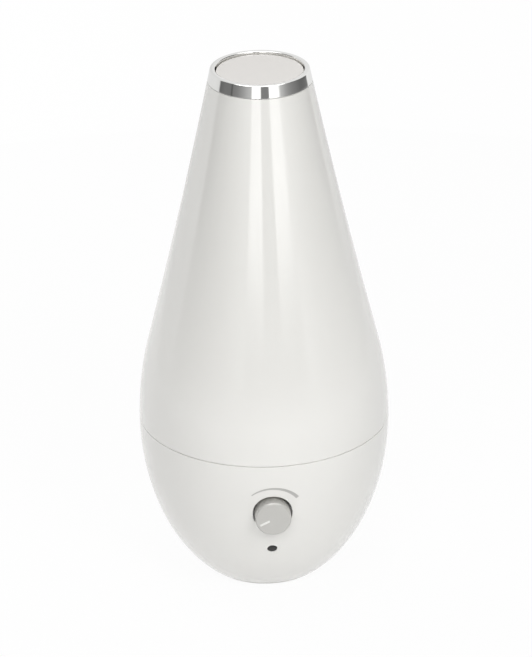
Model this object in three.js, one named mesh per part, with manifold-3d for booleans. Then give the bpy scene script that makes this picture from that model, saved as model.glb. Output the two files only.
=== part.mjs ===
// A teardrop ultrasonic cool mist humidifier, as an assembly of its separate pieces.
// Millimetres, +Z up. The origin is at the centre of the base on the surface it stands on,
// and the control knob faces -Y. A lower bowl holds the blower, the power parts and a moulded
// water tray with the ultrasonic transducer; the upper tank lifts off it, and mist rises
// through a central chimney to an annular slot round the disc at the top.

import * as THREE from "three";
import { mergeVertices, toCreasedNormals } from "three/addons/utils/BufferGeometryUtils.js";
import Module from "manifold-3d";

const wasm = await Module();
wasm.setup();

// ---------------------------------------------------------------- driving sizes

// Body outline.
const totalHeight = 395; // floor to the top of the chrome ring
const bellyRadius = 92; // widest radius of the body
const bellyHeight = 122; // height of the widest place
const bowlCut = 15; // the floor cuts off so much of the ellipse that shapes the lower bowl
const mouthRadius = 35.4; // outline radius at the very top
const shoulderRadius = 250; // the arc that turns the belly into the flank
const shoulderTurn = THREE.MathUtils.degToRad(14.3); // lean of the flank where that arc ends

// Walls, gaps and facets.
const shellWall = 2.6; // outer shells
const innerWall = 2.3; // tray, tank floor and other inner mouldings
const edgeRound = 0.5; // softened edges of mouldings
const seat = 0.3; // gap between pieces that rest on each other
const slip = 0.5; // gap between pieces that lift or turn in each other
const facetSlack = 0.3; // how far a flat facet may lie inside its true curve
const sunk = 0.5; // depth that a boss or rib is rooted in the wall it stands on
const bodySides = 32; // facets round the big shells
const innerSides = 20; // facets round the inner mouldings
const smallSides = 12; // facets round small tubes, posts and seals
const bossSides = 8; // facets round bosses and posts
const screwSides = 6; // facets round screws

// Seam between the base and the tank, shown as a fine line round the belly.
const seamHeight = 124.5;
const seamGap = 0.6;

// Feet and bottom plate.
const footCount = 4;
const footRadius = 5.5;
const footCircle = 33;
const footHeight = 2.2;
const plateBottom = 1;
const plateThickness = 2.7;
const plateRadius = 43.2;
const plateRimHeight = 3; // guide rim that centres the plate in the bowl's opening
const plateScrewCount = 3;
const plateScrewInset = 4.4; // out from the edge of the bowl's opening
const grilleRadius = 25;
const grilleSlot = 3;
const grillePitch = 6;

// Bowl.
const bowlFloor = 2.5;
const bowlOpening = 34;
const ledgeDrop = 7.2; // tray ledge below the bowl's rim
const ledgeWidth = 3;
const ledgeThickness = 2;
const bossRadius = 4;
const plateBossHeight = 6.5;

// Screws: head radius, head height, shank radius and length.
const caseScrew = { head: 2.8, headHeight: 1.1, shank: 1.4, length: 8 };
const clampScrew = { head: 2.2, headHeight: 1.4, shank: 1.1, length: 5 };

// Water tray.
const trayFloorDrop = 14.7; // tray floor below the bowl's rim
const wellRadius = 35;
const wellDepth = 19;
const wellChamfer = 2;
const trayScrewCount = 4;
const trayScrewInset = 7.5; // screws in from the tray's wall
const trayBossLength = 15;
const feedWidth = 12; // channel from the filler pocket to the well
const floatFeedWidth = 8; // channel from the float pocket to the well
const feedSill = 1.5; // channel floor above the filler pocket's floor

// Control knob and indicator.
const knobHeight = 84;
const knobRadius = 12.85;
const knobProud = 7.6;
const knobChamfer = 1;
const knobDraft = 0.3; // the knob is that much slimmer at its face
const knobWall = 1.8;
const knobWellRadius = 14.4;
const knobWellDepth = 11;
const knobWellWall = 2;
const shaftRadius = 3;
const pointerAngle = THREE.MathUtils.degToRad(206); // from +X towards +Z, at the off stop
const pointerStart = 3; // from the knob's axis
const pointerLength = 7.6;
const pointerWidth = 1.3;
const pointerDepth = 0.5;
const lensHeight = 50.5;
const lensRadius = 3.6;
const lensDepth = 5;

// Potentiometer behind the knob and the board that carries it.
const potRadius = 8.5;
const potDepth = 8.5;
const bushRadius = 4.7;
const bushLength = 6;
const nutRadius = 6.6;
const nutThickness = 2.2;
const controlBoardHalf = 13;
const boardThickness = 1.6;

// Cord outlet at the back.
const cordHeight = 26;
const cordRecess = 7.5; // depth of its flat recess
const cordRecessRadius = 9.5;
const cordHoleRadius = 3.4;
const bushWall = 1.8;
const bushFlange = 7;

// Tank, chimney and outlet.
const flangeHeight = 3;
const chimneyBore = 16.7;
const chimneyWall = 1.8;
const chimneySocket = 8; // depth of the socket that holds the chimney's top
const funnelSocket = 5; // height of the ring that holds the funnel at the chimney's foot
const chamberRise = 12; // straight part of the mist chamber above the tank's floor
const sealWire = 0.8; // section radius of the chimney's O-rings
const ringHeight = 9;
const ringRound = 0.8;
const ringInner = 31.8;
const collarDepth = 10; // collar floor below the chrome ring
const collarWall = 1.8;
const lipWall = 1.2; // lip round the chimney's mouth
const discRecess = 1.7;
const discThickness = 2.4;
const discDish = 0.7; // depth of the shallow dish in the disc
const mistSlot = 1.8; // annular gap round the disc
const webCount = 4;
const webThickness = 2;
const spigotDepth = 8;

// Filler cap and valve.
const neckRadius = 16;
const neckWall = 2.2;
const neckLength = 9;
const capRadius = 19.3;
const capWall = 2.2;
const capGripCount = 10;
const capGripDepth = 0.9;
const gasketThickness = 1.4;
const pocketClearance = 1.7; // round the cap in its pocket
const pocketDepth = 5.5; // pocket floor below the cap
const cageHeight = 21;
const cageLegs = 3;
const cageWall = 2.2;
const portCount = 3;
const valvePostHeight = 3;
const valvePostRadius = 3;
const valveLift = 4;
const valveRadius = 8.6;
const valveSealThickness = 1.4;
const plungerThickness = 1.8;
const stemRadius = 2.2;
const springRadius = 4;
const springWire = 0.5;
const springTurns = 3.5;

// Float that senses the water level.
const floatRadius = 12.4;
const floatHeight = 6.5;
const floatClearance = 1.6;
const floatTravel = 5;
const floatPostRadius = 2.8;
const magnetRadius = 6;
const magnetHeight = 2.2;
const clipRadius = 5;
const clipThickness = 1.5;
const levelBoard = [20, 12]; // along X and Y

// Transducer.
const transducerOffset = 14; // to the left of the chimney's axis
const transducerBoss = 6; // the boss that holds it reaches so far below the well
const piezoRadius = 10;
const piezoThickness = 1;
const piezoLip = 1; // seal over the edge of the disc
const piezoSealWall = 3.2;
const clampRadius = 18;
const clampThickness = 2;
const clampWindow = 6.5;
const clampScrewCount = 3;
const clampScrewCircle = 15.7;

// Blower.
const blowerDepth = 15;
const blowerWall = 1.5;
const blowerDrop = 39.4; // the wheel's axis below the top of the outlet
const rotorRadius = 19;
const rotorDepth = 9;
const rotorGap = 1; // behind the wheel
const hubRadius = 9.3;
const hubWall = 1.5;
const bladeCount = 20;
const bladeDepth = 5.5;
const bladeSweep = 0.42;
const bladeThickness = 0.8;
const voluteStart = 21;
const voluteEnd = 25.5;
const outletWidth = 20;
const inletRadius = 15.5;
const axleRadius = 1;
const statorRadius = 6;
const statorDepth = 6;
const socketDepth = 7; // the outlet reaches so far into the tray's socket
const riserSill = 3.5; // air riser above the tray floor
const hoodHeight = 8;
const hoodRoof = 1.8;

// Transformer and driver board.
const transformerLevel = 16;
const transformerBack = 30; // behind the body's axis
const coreWidth = 42;
const coreHeight = 35;
const coreDepth = 16;
const coreLeg = 14;
const coreWindow = 7;
const strapWidth = 64;
const strapThickness = 1.7;
const coilProud = 6.7; // winding over the core's leg
const boardPlace = 24; // before the body's axis
const boardWidth = 59;
const boardLow = 20;
const boardHigh = 68;
const boardPostWidth = 7;
const sinkWidth = 22;
const sinkLow = 34;
const sinkHigh = 60;
const sinkBase = 3;
const sinkFin = 2;
const sinkFins = 5;
const sinkDepth = 13;
const capacitorCount = 2;
const capacitorRadius = 5;
const capacitorLength = 15;
const capacitorHeight = 32;

// ---------------------------------------------------------------- materials

const material = (color, roughness, metalness = 0) =>
  new THREE.MeshStandardMaterial({ color, roughness, metalness });

const pearlWhite = material(0xe8e7e3, 0.16);
const innerWhite = material(0xe2e2de, 0.4);
const clearGrey = material(0xd7dcdc, 0.3);
const chrome = material(0xdcdcdc, 0.06, 1);
const silver = material(0xc4c3bf, 0.42, 0.35);
const printWhite = material(0xf2f2ef, 0.5);
const smokedLens = material(0x2c2b2a, 0.2);
const ledGreen = material(0x9fd8a0, 0.3);
const rubber = material(0x2f2f2f, 0.85);
const siliconeGrey = material(0xb9bcbc, 0.7);
const steel = material(0xb4b5b7, 0.35, 1);
const brass = material(0xc9a45a, 0.35, 1);
const ferrite = material(0x55524e, 0.6, 0.5);
const copper = material(0xb5642f, 0.4, 0.7);
const boardGreen = material(0x2f6b42, 0.55);
const blackPlastic = material(0x26272a, 0.5);
const aluminium = material(0xb9bcc0, 0.4, 1);
const foam = material(0xdad7cf, 0.9);

// ---------------------------------------------------------------- solids

// A closed three.js geometry as a manifold-3d solid, its faces turned outwards.
function solid(geometry) {
  const bare = geometry.clone();
  for (const name of Object.keys(bare.attributes)) {
    if (name !== "position") bare.deleteAttribute(name);
  }
  const merged = mergeVertices(bare, 1e-4);
  const index = merged.index.array;
  const triangles = [];
  for (let i = 0; i < index.length; i += 3) {
    const [a, b, c] = [index[i], index[i + 1], index[i + 2]];
    if (a !== b && b !== c && a !== c) triangles.push(a, b, c);
  }
  const build = (triVerts) =>
    new wasm.Manifold(
      new wasm.Mesh({
        numProp: 3,
        vertProperties: new Float32Array(merged.attributes.position.array),
        triVerts: new Uint32Array(triVerts),
      }),
    );
  const made = build(triangles);
  return made.volume() >= 0 ? made : build(triangles.reverse());
}

// A solid back as a geometry whose sharp edges shade sharp.
function geometryOf(shape) {
  const mesh = shape.getMesh();
  const geometry = new THREE.BufferGeometry();
  geometry.setAttribute("position", new THREE.BufferAttribute(mesh.vertProperties, 3));
  geometry.setIndex(new THREE.BufferAttribute(mesh.triVerts, 1));
  return toCreasedNormals(geometry, 0.6);
}

const join = (...shapes) => shapes.flat().reduce((all, shape) => all.add(shape));
const cut = (from, ...shapes) => shapes.flat().reduce((left, shape) => left.subtract(shape), from);

// Turns a closed [radius, height] outline round the Z axis.
function revolve(outline, sides) {
  const points = outline.map(([r, z]) => new THREE.Vector2(r, z));
  const onAxis = points[0].x === 0 && points.at(-1).x === 0;
  if (!onAxis) points.push(points[0].clone());
  return solid(new THREE.LatheGeometry(points, sides).rotateX(Math.PI / 2));
}

// A round bar or hole between two heights.
function rod(radius, low, high, sides, x = 0, y = 0) {
  const bar = new THREE.CylinderGeometry(radius, radius, high - low, sides);
  return solid(bar.rotateX(Math.PI / 2).translate(x, y, (low + high) / 2));
}

// A round bar or hole along Y, between a front and a back place.
function rodAlongY(radius, front, back, sides, x = 0, z = 0) {
  const bar = new THREE.CylinderGeometry(radius, radius, back - front, sides);
  return solid(bar.translate(x, (front + back) / 2, z));
}

function tube(outer, inner, low, high, sides, x = 0, y = 0) {
  const section = [
    [inner, low],
    [outer, low],
    [outer, high],
    [inner, high],
  ];
  return revolve(section, sides).translate([x, y, 0]);
}

// A box from its lowest to its highest corner.
function box([x0, y0, z0], [x1, y1, z1]) {
  const block = new THREE.BoxGeometry(x1 - x0, y1 - y0, z1 - z0);
  return solid(block.translate((x0 + x1) / 2, (y0 + y1) / 2, (z0 + z1) / 2));
}

// An outline in the XZ plane, given depth from a front to a back place along Y.
function slabAlongY(outline, front, back) {
  const shape = new THREE.Shape(outline.map(([x, z]) => new THREE.Vector2(x, z)));
  const slab = new THREE.ExtrudeGeometry(shape, { depth: back - front, bevelEnabled: false });
  return solid(slab.rotateX(Math.PI / 2).translate(0, back, 0));
}

// The angles of copies spaced evenly round the Z axis, in radians.
const around = (count, first = 0) =>
  Array.from({ length: count }, (_, i) => first + (i * 2 * Math.PI) / count);

const degrees = THREE.MathUtils.radToDeg;
const turned = (shape, angle) => shape.rotate([0, 0, degrees(angle)]);
const mirrored = (shape) => [shape, shape.mirror([1, 0, 0])];

// ---------------------------------------------------------------- body outline

const bowlDepth = bellyHeight + bowlCut; // vertical half-axis of the bowl's ellipse
const shoulderTop = bellyHeight + shoulderRadius * Math.sin(shoulderTurn);
const flank = flankCurve();

// The flank leaves the shoulder along its lean and bows in a little on its way to the mouth.
function flankCurve() {
  const lean = new THREE.Vector2(-Math.sin(shoulderTurn), Math.cos(shoulderTurn));
  const from = new THREE.Vector2(
    bellyRadius - shoulderRadius * (1 - Math.cos(shoulderTurn)),
    shoulderTop,
  );
  const to = new THREE.Vector2(mouthRadius, totalHeight);
  const bend = from.clone().addScaledVector(lean, from.distanceTo(to) / 2);
  return new THREE.QuadraticBezierCurve(from, bend, to);
}

// Outer radius of the body at a height.
function outlineRadius(z) {
  if (z <= bellyHeight) {
    return bellyRadius * Math.sqrt(1 - ((bellyHeight - z) / bowlDepth) ** 2);
  }
  if (z <= shoulderTop) {
    return bellyRadius - shoulderRadius + Math.sqrt(shoulderRadius ** 2 - (z - bellyHeight) ** 2);
  }
  const a = flank.v0.y - 2 * flank.v1.y + flank.v2.y;
  const b = 2 * (flank.v1.y - flank.v0.y);
  const c = flank.v0.y - z;
  return flank.getPoint((2 * -c) / (b + Math.sqrt(b * b - 4 * a * c))).x;
}

// Growth of that radius with height.
const outlineSlope = (z) => (outlineRadius(z + 0.01) - outlineRadius(z - 0.01)) / 0.02;

// Radius of a wall that lies a given depth inside the body's surface.
const insideRadius = (z, depth) => outlineRadius(z) - depth * Math.hypot(1, outlineSlope(z));

// Points up or down the tank's outline, at a depth inside it.
function tankOutline(from, to, steps, depth = 0) {
  return Array.from({ length: steps + 1 }, (_, i) => {
    const z = from + ((to - from) * i) / steps;
    return [insideRadius(z, depth), z];
  });
}

// Points up or down the bowl's ellipse, evenly spaced in its angle.
function bowlOutline(from, to, steps, depth = 0) {
  const angleAt = (z) => Math.asin((bellyHeight - z) / bowlDepth);
  return Array.from({ length: steps + 1 }, (_, i) => {
    const angle = angleAt(from) + ((angleAt(to) - angleAt(from)) * i) / steps;
    const z = bellyHeight - bowlDepth * Math.sin(angle);
    return [insideRadius(z, depth), z];
  });
}

// ---------------------------------------------------------------- levels and places

// Base shells.
const plateTop = plateBottom + plateThickness;
const bowlBottom = plateTop + seat;
const bowlFloorTop = bowlBottom + bowlFloor;
const plateScrewCircle = bowlOpening + plateScrewInset;
const rimTop = seamHeight - seamGap / 2;
const tankBottom = seamHeight + seamGap / 2;

// Water tray.
const ledgeTop = rimTop - ledgeDrop;
const trayFloor = rimTop - trayFloorDrop;
const trayFloorUnder = trayFloor - innerWall;
const wellFloor = trayFloor - wellDepth;
const wellUnder = wellFloor - innerWall;
const trayRim = insideRadius(ledgeTop, shellWall) - slip;
const trayOuter = trayRim - ledgeWidth;
const trayInner = trayOuter - innerWall;
const trayScrewCircle = trayInner - trayScrewInset;
const clampTop = wellUnder - transducerBoss;

// Tank.
const tankUnderside = trayFloor + slip;
const tankFloorTop = tankUnderside + innerWall;
const tankFoot = trayInner - slip - facetSlack;
const ringBottom = totalHeight - ringHeight;
const collarFloor = ringBottom - collarDepth;
const collarUnder = collarFloor - innerWall;
const chimneyOuter = chimneyBore + chimneyWall;
const chimneyHolder = chimneyOuter + seat + facetSlack;
const chimneyTop = collarFloor + innerWall;
const collarLip = chimneyHolder + lipWall;
const chimneyFoot = tankFloorTop + seat;
const funnelBore = wellRadius + seat;
const funnelOuter = funnelBore + chimneyWall;
const funnelHolder = funnelOuter + seat;
const chamberTop = tankFloorTop + chamberRise;
const coneTop = chamberTop + funnelBore - chimneyBore;
const discRadius = ringInner - mistSlot;
const discTop = totalHeight - discRecess;
const discBottom = discTop - discThickness;

// Filler cap and valve.
const neckBottom = tankUnderside - neckLength;
const capTop = tankUnderside - slip;
const capFloor = neckBottom - gasketThickness - 2 * seat;
const capBottom = capFloor - capWall;
const pocketRadius = capRadius + pocketClearance;
const pocketFloor = capBottom - pocketDepth;
const fillerOffset = trayInner - pocketRadius - innerWall - facetSlack;
const valvePostTop = pocketFloor + valvePostHeight;
const cageTop = capFloor + cageHeight;
const cageRadius = neckRadius - neckWall - 2 * slip;
const valveSealRest = capFloor + seat + valveLift;
const plungerBottom = valveSealRest + valveSealThickness + seat;
const plungerTop = plungerBottom + plungerThickness;

// Float.
const floatPocketRadius = floatRadius + floatClearance;
const floatOffset = wellRadius + 2 * innerWall + floatPocketRadius - sunk;
const floatRest = wellFloor + seat;
const magnetRest = floatRest + floatHeight + seat;
const clipBottom = magnetRest + magnetHeight + floatTravel + seat;

// Control.
const bowlFront = outlineRadius(knobHeight);
const knobFace = bowlFront + knobProud;
const knobWellFloor = bowlFront - knobWellDepth;
const panelBack = knobWellWall - knobWellFloor; // place along Y
const potFront = panelBack + seat;
const potBack = potFront + potDepth;
const controlBoardFront = potBack + seat;
const cordFloor = outlineRadius(cordHeight) - cordRecess;

// Blower.
const blowerTop = wellUnder - seat;
const blowerCentreX = outletWidth - voluteEnd + 10;
const blowerCentreZ = blowerTop - blowerDrop;
const outletRight = blowerCentreX + voluteEnd;
const outletLeft = outletRight - outletWidth;
const blowerFront = -blowerDepth / 2;
const blowerBack = blowerDepth / 2;
const riserHalf = blowerDepth / 2 - blowerWall;
const riserTop = trayFloor + riserSill;

// Repeats round the axis.
const plateScrewAngles = around(plateScrewCount, Math.PI / 2);
const trayScrewAngles = around(trayScrewCount, Math.PI / 4);
const footAngles = around(footCount, Math.PI / 4);
const clampScrewAngles = around(clampScrewCount, Math.PI / 3);

// ---------------------------------------------------------------- assembly helpers

const humidifier = new THREE.Group();

function add(name, look, shape) {
  const mesh = new THREE.Mesh(geometryOf(shape), look);
  mesh.name = name;
  humidifier.add(mesh);
}

// A pan-head screw on the Z axis, pointing up from the underside of its head.
function screw({ head, headHeight, shank, length }) {
  const tip = headHeight + length;
  return revolve(
    [
      [0, 0],
      [head - edgeRound, 0],
      [head, headHeight],
      [shank, headHeight],
      [shank, tip - shank],
      [0, tip],
    ],
    screwSides,
  );
}

const onCircle = (shape, radius, angle) => turned(shape.translate([radius, 0, 0]), angle);

// ---------------------------------------------------------------- base shells

function bowlShell() {
  const ledgeInner = trayOuter + seat;
  return revolve(
    [
      [bowlOpening, bowlBottom],
      ...bowlOutline(bowlBottom, rimTop - edgeRound, 7),
      [outlineRadius(rimTop) - edgeRound, rimTop],
      [insideRadius(rimTop, shellWall), rimTop],
      [insideRadius(ledgeTop, shellWall), ledgeTop],
      [ledgeInner, ledgeTop],
      [ledgeInner, ledgeTop - ledgeThickness],
      ...bowlOutline(ledgeTop - 3 * ledgeThickness, bowlFloorTop, 4, shellWall),
      [bowlOpening, bowlFloorTop],
    ],
    bodySides,
  );
}

// The space inside the bowl and a little into its wall, to trim what is added inside.
function insideOfBowl() {
  const intoWall = shellWall * 0.4;
  const low = bowlBottom + sunk;
  return revolve([[0, low], ...bowlOutline(low, rimTop, 5, intoWall), [0, rimTop]], innerSides);
}

// A cup let into the front of the bowl, which the knob turns in, and its hollow.
const knobWell = () =>
  rodAlongY(knobWellRadius + knobWellWall, -bowlFront, panelBack, smallSides, 0, knobHeight);

const knobWellHollow = () =>
  join(
    rodAlongY(knobWellRadius, -knobFace, -knobWellFloor, innerSides, 0, knobHeight),
    rodAlongY(bushRadius + seat, -knobFace, panelBack + sunk, smallSides, 0, knobHeight),
  );

// Sets a shape that is centred on the Y axis square to the bowl's surface at the front.
const squareToFront = (shape, z) =>
  shape.rotate([degrees(Math.atan(outlineSlope(z))), 0, 0]).translate([0, -outlineRadius(z), z]);

const lensHole = () =>
  squareToFront(rodAlongY(lensRadius + seat, -lensDepth, 2 * lensDepth, smallSides), lensHeight);

// The flat, round recess at the back that the cord's bush sits in, and its hollow.
const cordPad = () =>
  rodAlongY(
    cordRecessRadius + innerWall,
    cordFloor - innerWall,
    outlineRadius(cordHeight),
    smallSides,
    0,
    cordHeight,
  );

function cordHollow() {
  const hole = cordHoleRadius + bushWall + seat;
  const hollow = join(
    rodAlongY(cordRecessRadius, cordFloor, bellyRadius, smallSides),
    rodAlongY(hole, cordFloor - 2 * innerWall, cordFloor + sunk, smallSides),
  );
  return hollow.translate([0, 0, cordHeight]);
}

// A boss that a tray screw bites in, carried by a web from the bowl's wall.
function trayBoss() {
  const high = trayFloorUnder - seat;
  const low = high - trayBossLength;
  const post = rod(bossRadius, low, high, bossSides, trayScrewCircle);
  const web = box([trayScrewCircle, -innerWall / 2, low], [bellyRadius, innerWall / 2, high]);
  return join(post, web);
}

// A post with a groove that one edge of the driver board drops into.
function boardPost() {
  const half = boardPostWidth / 2;
  const centre = boardWidth / 2 + 1.5;
  const post = box(
    [centre - half, -boardPlace - half, bowlBottom + sunk],
    [centre + half, -boardPlace + half, boardHigh - half],
  );
  const groove = box(
    [0, -boardPlace - boardThickness / 2 - seat, boardLow],
    [boardWidth / 2 + seat, -boardPlace + boardThickness / 2 + seat, boardHigh],
  );
  return cut(post, groove);
}

const strapHole = strapWidth / 2 - bossRadius - 1;

const strapPost = () =>
  rod(bossRadius, bowlBottom + sunk, transformerLevel - seat, bossSides, strapHole, transformerBack);

function baseBowl() {
  const plateBossTop = bowlFloorTop + plateBossHeight;
  const plateBoss = rod(bossRadius, bowlBottom + sunk, plateBossTop, bossSides);
  const plateBore = rod(caseScrew.shank + seat, 0, plateBossTop - seat, screwSides);
  const trayBore = rod(
    caseScrew.shank + seat,
    trayFloorUnder - caseScrew.length - sunk,
    trayFloor,
    screwSides,
    trayScrewCircle,
  );
  const inside = join(
    knobWell(),
    cordPad(),
    trayScrewAngles.map((angle) => turned(trayBoss(), angle)),
    mirrored(boardPost()),
    mirrored(strapPost()),
    plateScrewAngles.map((angle) => onCircle(plateBoss, plateScrewCircle, angle)),
  );
  return cut(
    join(bowlShell(), inside.intersect(insideOfBowl())),
    knobWellHollow(),
    lensHole(),
    cordHollow(),
    trayScrewAngles.map((angle) => turned(trayBore, angle)),
    plateScrewAngles.map((angle) => onCircle(plateBore, plateScrewCircle, angle)),
  );
}

// Parallel intake slots whose ends follow a circle.
function grilleSlots() {
  const reach = Math.floor((grilleRadius - grilleSlot) / grillePitch);
  return Array.from({ length: 2 * reach + 1 }, (_, i) => {
    const x = (i - reach) * grillePitch;
    const half = Math.sqrt(grilleRadius ** 2 - x ** 2);
    return box([x - grilleSlot / 2, -half, 0], [x + grilleSlot / 2, half, bowlBottom]);
  });
}

function bottomPlate() {
  const guide = bowlOpening - slip;
  const disc = revolve(
    [
      [0, plateBottom],
      [plateRadius - edgeRound, plateBottom],
      [plateRadius, plateBottom + edgeRound],
      [plateRadius, plateTop],
      [guide, plateTop],
      [guide, plateTop + plateRimHeight],
      [guide - innerWall, plateTop + plateRimHeight],
      [guide - innerWall, plateTop],
      [0, plateTop],
    ],
    bodySides,
  );
  const footRecess = rod(footRadius + seat, 0, footHeight + seat, smallSides);
  const screwHole = join(
    rod(caseScrew.shank + seat, 0, bowlBottom, screwSides),
    rod(caseScrew.head + seat, 0, plateBottom + caseScrew.headHeight + seat, bossSides),
  );
  return cut(
    disc,
    grilleSlots(),
    footAngles.map((angle) => onCircle(footRecess, footCircle, angle)),
    plateScrewAngles.map((angle) => onCircle(screwHole, plateScrewCircle, angle)),
  );
}

function rubberFoot() {
  return revolve(
    [
      [0, 0],
      [footRadius - edgeRound, 0],
      [footRadius, edgeRound],
      [footRadius, footHeight],
      [0, footHeight],
    ],
    smallSides,
  );
}

function baseShells() {
  add("base_bowl", pearlWhite, baseBowl());
  add("bottom_plate", innerWhite, bottomPlate());
  footAngles.forEach((angle, i) => {
    add(`rubber_foot_${i + 1}`, rubber, onCircle(rubberFoot(), footCircle, angle));
  });
  plateScrewAngles.forEach((angle, i) => {
    const raised = screw(caseScrew).translate([0, 0, plateBottom + seat / 2]);
    add(`plate_screw_${i + 1}`, steel, onCircle(raised, plateScrewCircle, angle));
  });
}

// ---------------------------------------------------------------- water tray

function trayShell() {
  return revolve(
    [
      [0, wellFloor],
      [wellRadius - wellChamfer, wellFloor],
      [wellRadius, wellFloor + wellChamfer],
      [wellRadius, trayFloor],
      [trayInner, trayFloor],
      [trayInner, rimTop - slip],
      [trayRim, rimTop - slip],
      [trayRim, ledgeTop + seat],
      [trayOuter, ledgeTop + seat],
      [trayOuter, trayFloorUnder],
      [wellRadius + innerWall, trayFloorUnder],
      [wellRadius + innerWall, wellUnder],
      [0, wellUnder],
    ],
    bodySides,
  );
}

// The walls and the hollow of a straight channel from the well to a side pocket on +Y.
function feedChannel(width, pocketEdge) {
  const half = width / 2;
  const outer = half + innerWall;
  const low = pocketFloor + feedSill;
  const end = pocketEdge + 2 * innerWall;
  const walls = box([-outer, wellRadius + sunk, low - innerWall], [outer, end, trayFloor]);
  const hollow = box([-half, wellRadius - innerWall, low], [half, end, ledgeTop]);
  return [walls, hollow];
}

// The walls and the hollow of the air riser, with the socket that the blower plugs in below.
function riserWalls() {
  const wall = innerWall;
  const grip = blowerWall + seat + wall;
  const riser = box(
    [outletLeft - wall, -riserHalf - wall, wellUnder + sunk],
    [outletRight + wall, riserHalf + wall, riserTop],
  );
  const socket = box(
    [outletLeft - grip, blowerFront - seat - wall, blowerTop - socketDepth],
    [outletRight + grip, blowerBack + seat + wall, wellUnder + sunk],
  );
  return [riser, socket];
}

function riserHollows() {
  const grip = blowerWall + seat;
  const riser = box([outletLeft, -riserHalf, blowerTop], [outletRight, riserHalf, riserTop + sunk]);
  const socket = box(
    [outletLeft - grip, blowerFront - seat, blowerTop - socketDepth - sunk],
    [outletRight + grip, blowerBack + seat, wellUnder],
  );
  return [riser, socket];
}

// The stepped hole that the transducer is clamped in from below, and its screw holes.
function transducerHollows() {
  const x = -transducerOffset;
  const bore = rod(clampScrew.shank + seat, clampTop - sunk, wellUnder - 1, screwSides, clampScrewCircle);
  return [
    rod(piezoRadius - piezoLip, clampTop - sunk, wellFloor + sunk, innerSides, x),
    rod(piezoRadius + piezoSealWall + seat, clampTop - sunk, wellUnder, innerSides, x),
    ...clampScrewAngles.map((angle) => turned(bore, angle).translate([x, 0, 0])),
  ];
}

function waterTray() {
  const fillerPocket = [pocketRadius, pocketFloor, 0, fillerOffset];
  const floatPocket = [floatPocketRadius, wellFloor, -floatOffset, 0];
  const cups = [fillerPocket, floatPocket].map(([radius, floor, x, y]) =>
    rod(radius + innerWall, floor - innerWall, trayFloor, innerSides, x, y),
  );
  const pockets = [fillerPocket, floatPocket].map(([radius, floor, x, y]) =>
    rod(radius, floor, rimTop, innerSides, x, y),
  );
  const transducerRing = rod(clampRadius, clampTop, wellUnder + sunk, innerSides, -transducerOffset);
  const screwHole = join(
    rod(caseScrew.shank + seat, trayFloorUnder - sunk, trayFloor + sunk, screwSides),
    rod(caseScrew.head + seat, trayFloor - caseScrew.headHeight - seat, rimTop, bossSides),
  );
  const posts = [
    rod(valvePostRadius, pocketFloor - sunk, valvePostTop, bossSides, 0, fillerOffset),
    rod(floatPostRadius, wellFloor - sunk, clipBottom + 2 * clipThickness, bossSides, -floatOffset),
  ];
  const [feedWalls, feedHollow] = feedChannel(feedWidth, fillerOffset - pocketRadius);
  const [floatWalls, floatHollow] = feedChannel(
    floatFeedWidth,
    floatOffset - floatPocketRadius,
  ).map((shape) => turned(shape, Math.PI / 2));
  const moulding = cut(
    join(trayShell(), cups, feedWalls, floatWalls, transducerRing, riserWalls()),
    pockets,
    feedHollow,
    floatHollow,
    transducerHollows(),
    riserHollows(),
    trayScrewAngles.map((angle) => onCircle(screwHole, trayScrewCircle, angle)),
  );
  return join(moulding, posts);
}

// The rubber collar that holds the edge of the piezo disc.
function transducerSeal() {
  const top = wellUnder - seat;
  const inner = piezoRadius - piezoLip;
  const outer = piezoRadius + piezoSealWall;
  const groove = piezoRadius + seat;
  return revolve(
    [
      [inner, top],
      [inner, top - piezoLip],
      [groove, top - piezoLip],
      [groove, clampTop + piezoLip],
      [outer, clampTop + piezoLip],
      [outer, top],
    ],
    innerSides,
  );
}

// The plate that presses the seal up from below, with a lip inside the boss.
function transducerClamp() {
  const lip = tube(
    piezoRadius + piezoSealWall,
    piezoRadius + seat,
    clampTop - clampThickness / 2,
    clampTop + piezoLip - seat,
    innerSides,
  );
  const low = clampTop - seat - clampThickness;
  const bore = rod(clampScrew.shank + seat, low - sunk, clampTop, screwSides);
  return cut(
    join(rod(clampRadius, low, clampTop - seat, innerSides), lip),
    rod(clampWindow, low - sunk, clampTop, smallSides),
    clampScrewAngles.map((angle) => onCircle(bore, clampScrewCircle, angle)),
  );
}

function transducer() {
  const place = (shape) => shape.translate([-transducerOffset, 0, 0]);
  const piezoTop = wellUnder - seat - piezoLip - seat;
  const piezo = rod(piezoRadius, piezoTop - piezoThickness, piezoTop, innerSides);
  add("transducer_seal", siliconeGrey, place(transducerSeal()));
  add("transducer_disc", brass, place(piezo));
  add("transducer_clamp", aluminium, place(transducerClamp()));
  clampScrewAngles.forEach((angle, i) => {
    const low = clampTop - clampThickness - 2 * seat - clampScrew.headHeight;
    const raised = screw(clampScrew).translate([0, 0, low]);
    add(`clamp_screw_${i + 1}`, steel, place(onCircle(raised, clampScrewCircle, angle)));
  });
}

// The hood over the air riser, open towards the transducer so that no drops fall in.
function airHood() {
  const low = riserTop + seat;
  const high = low + hoodHeight;
  const left = outletLeft - innerWall;
  const right = outletRight + innerWall;
  const half = riserHalf + innerWall;
  const block = box([left, -half, low], [right, half, high]);
  const hollow = box([left - 1, -riserHalf, low - 1], [outletRight, riserHalf, high - hoodRoof]);
  add("air_hood", innerWhite, cut(block, hollow));
}

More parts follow.
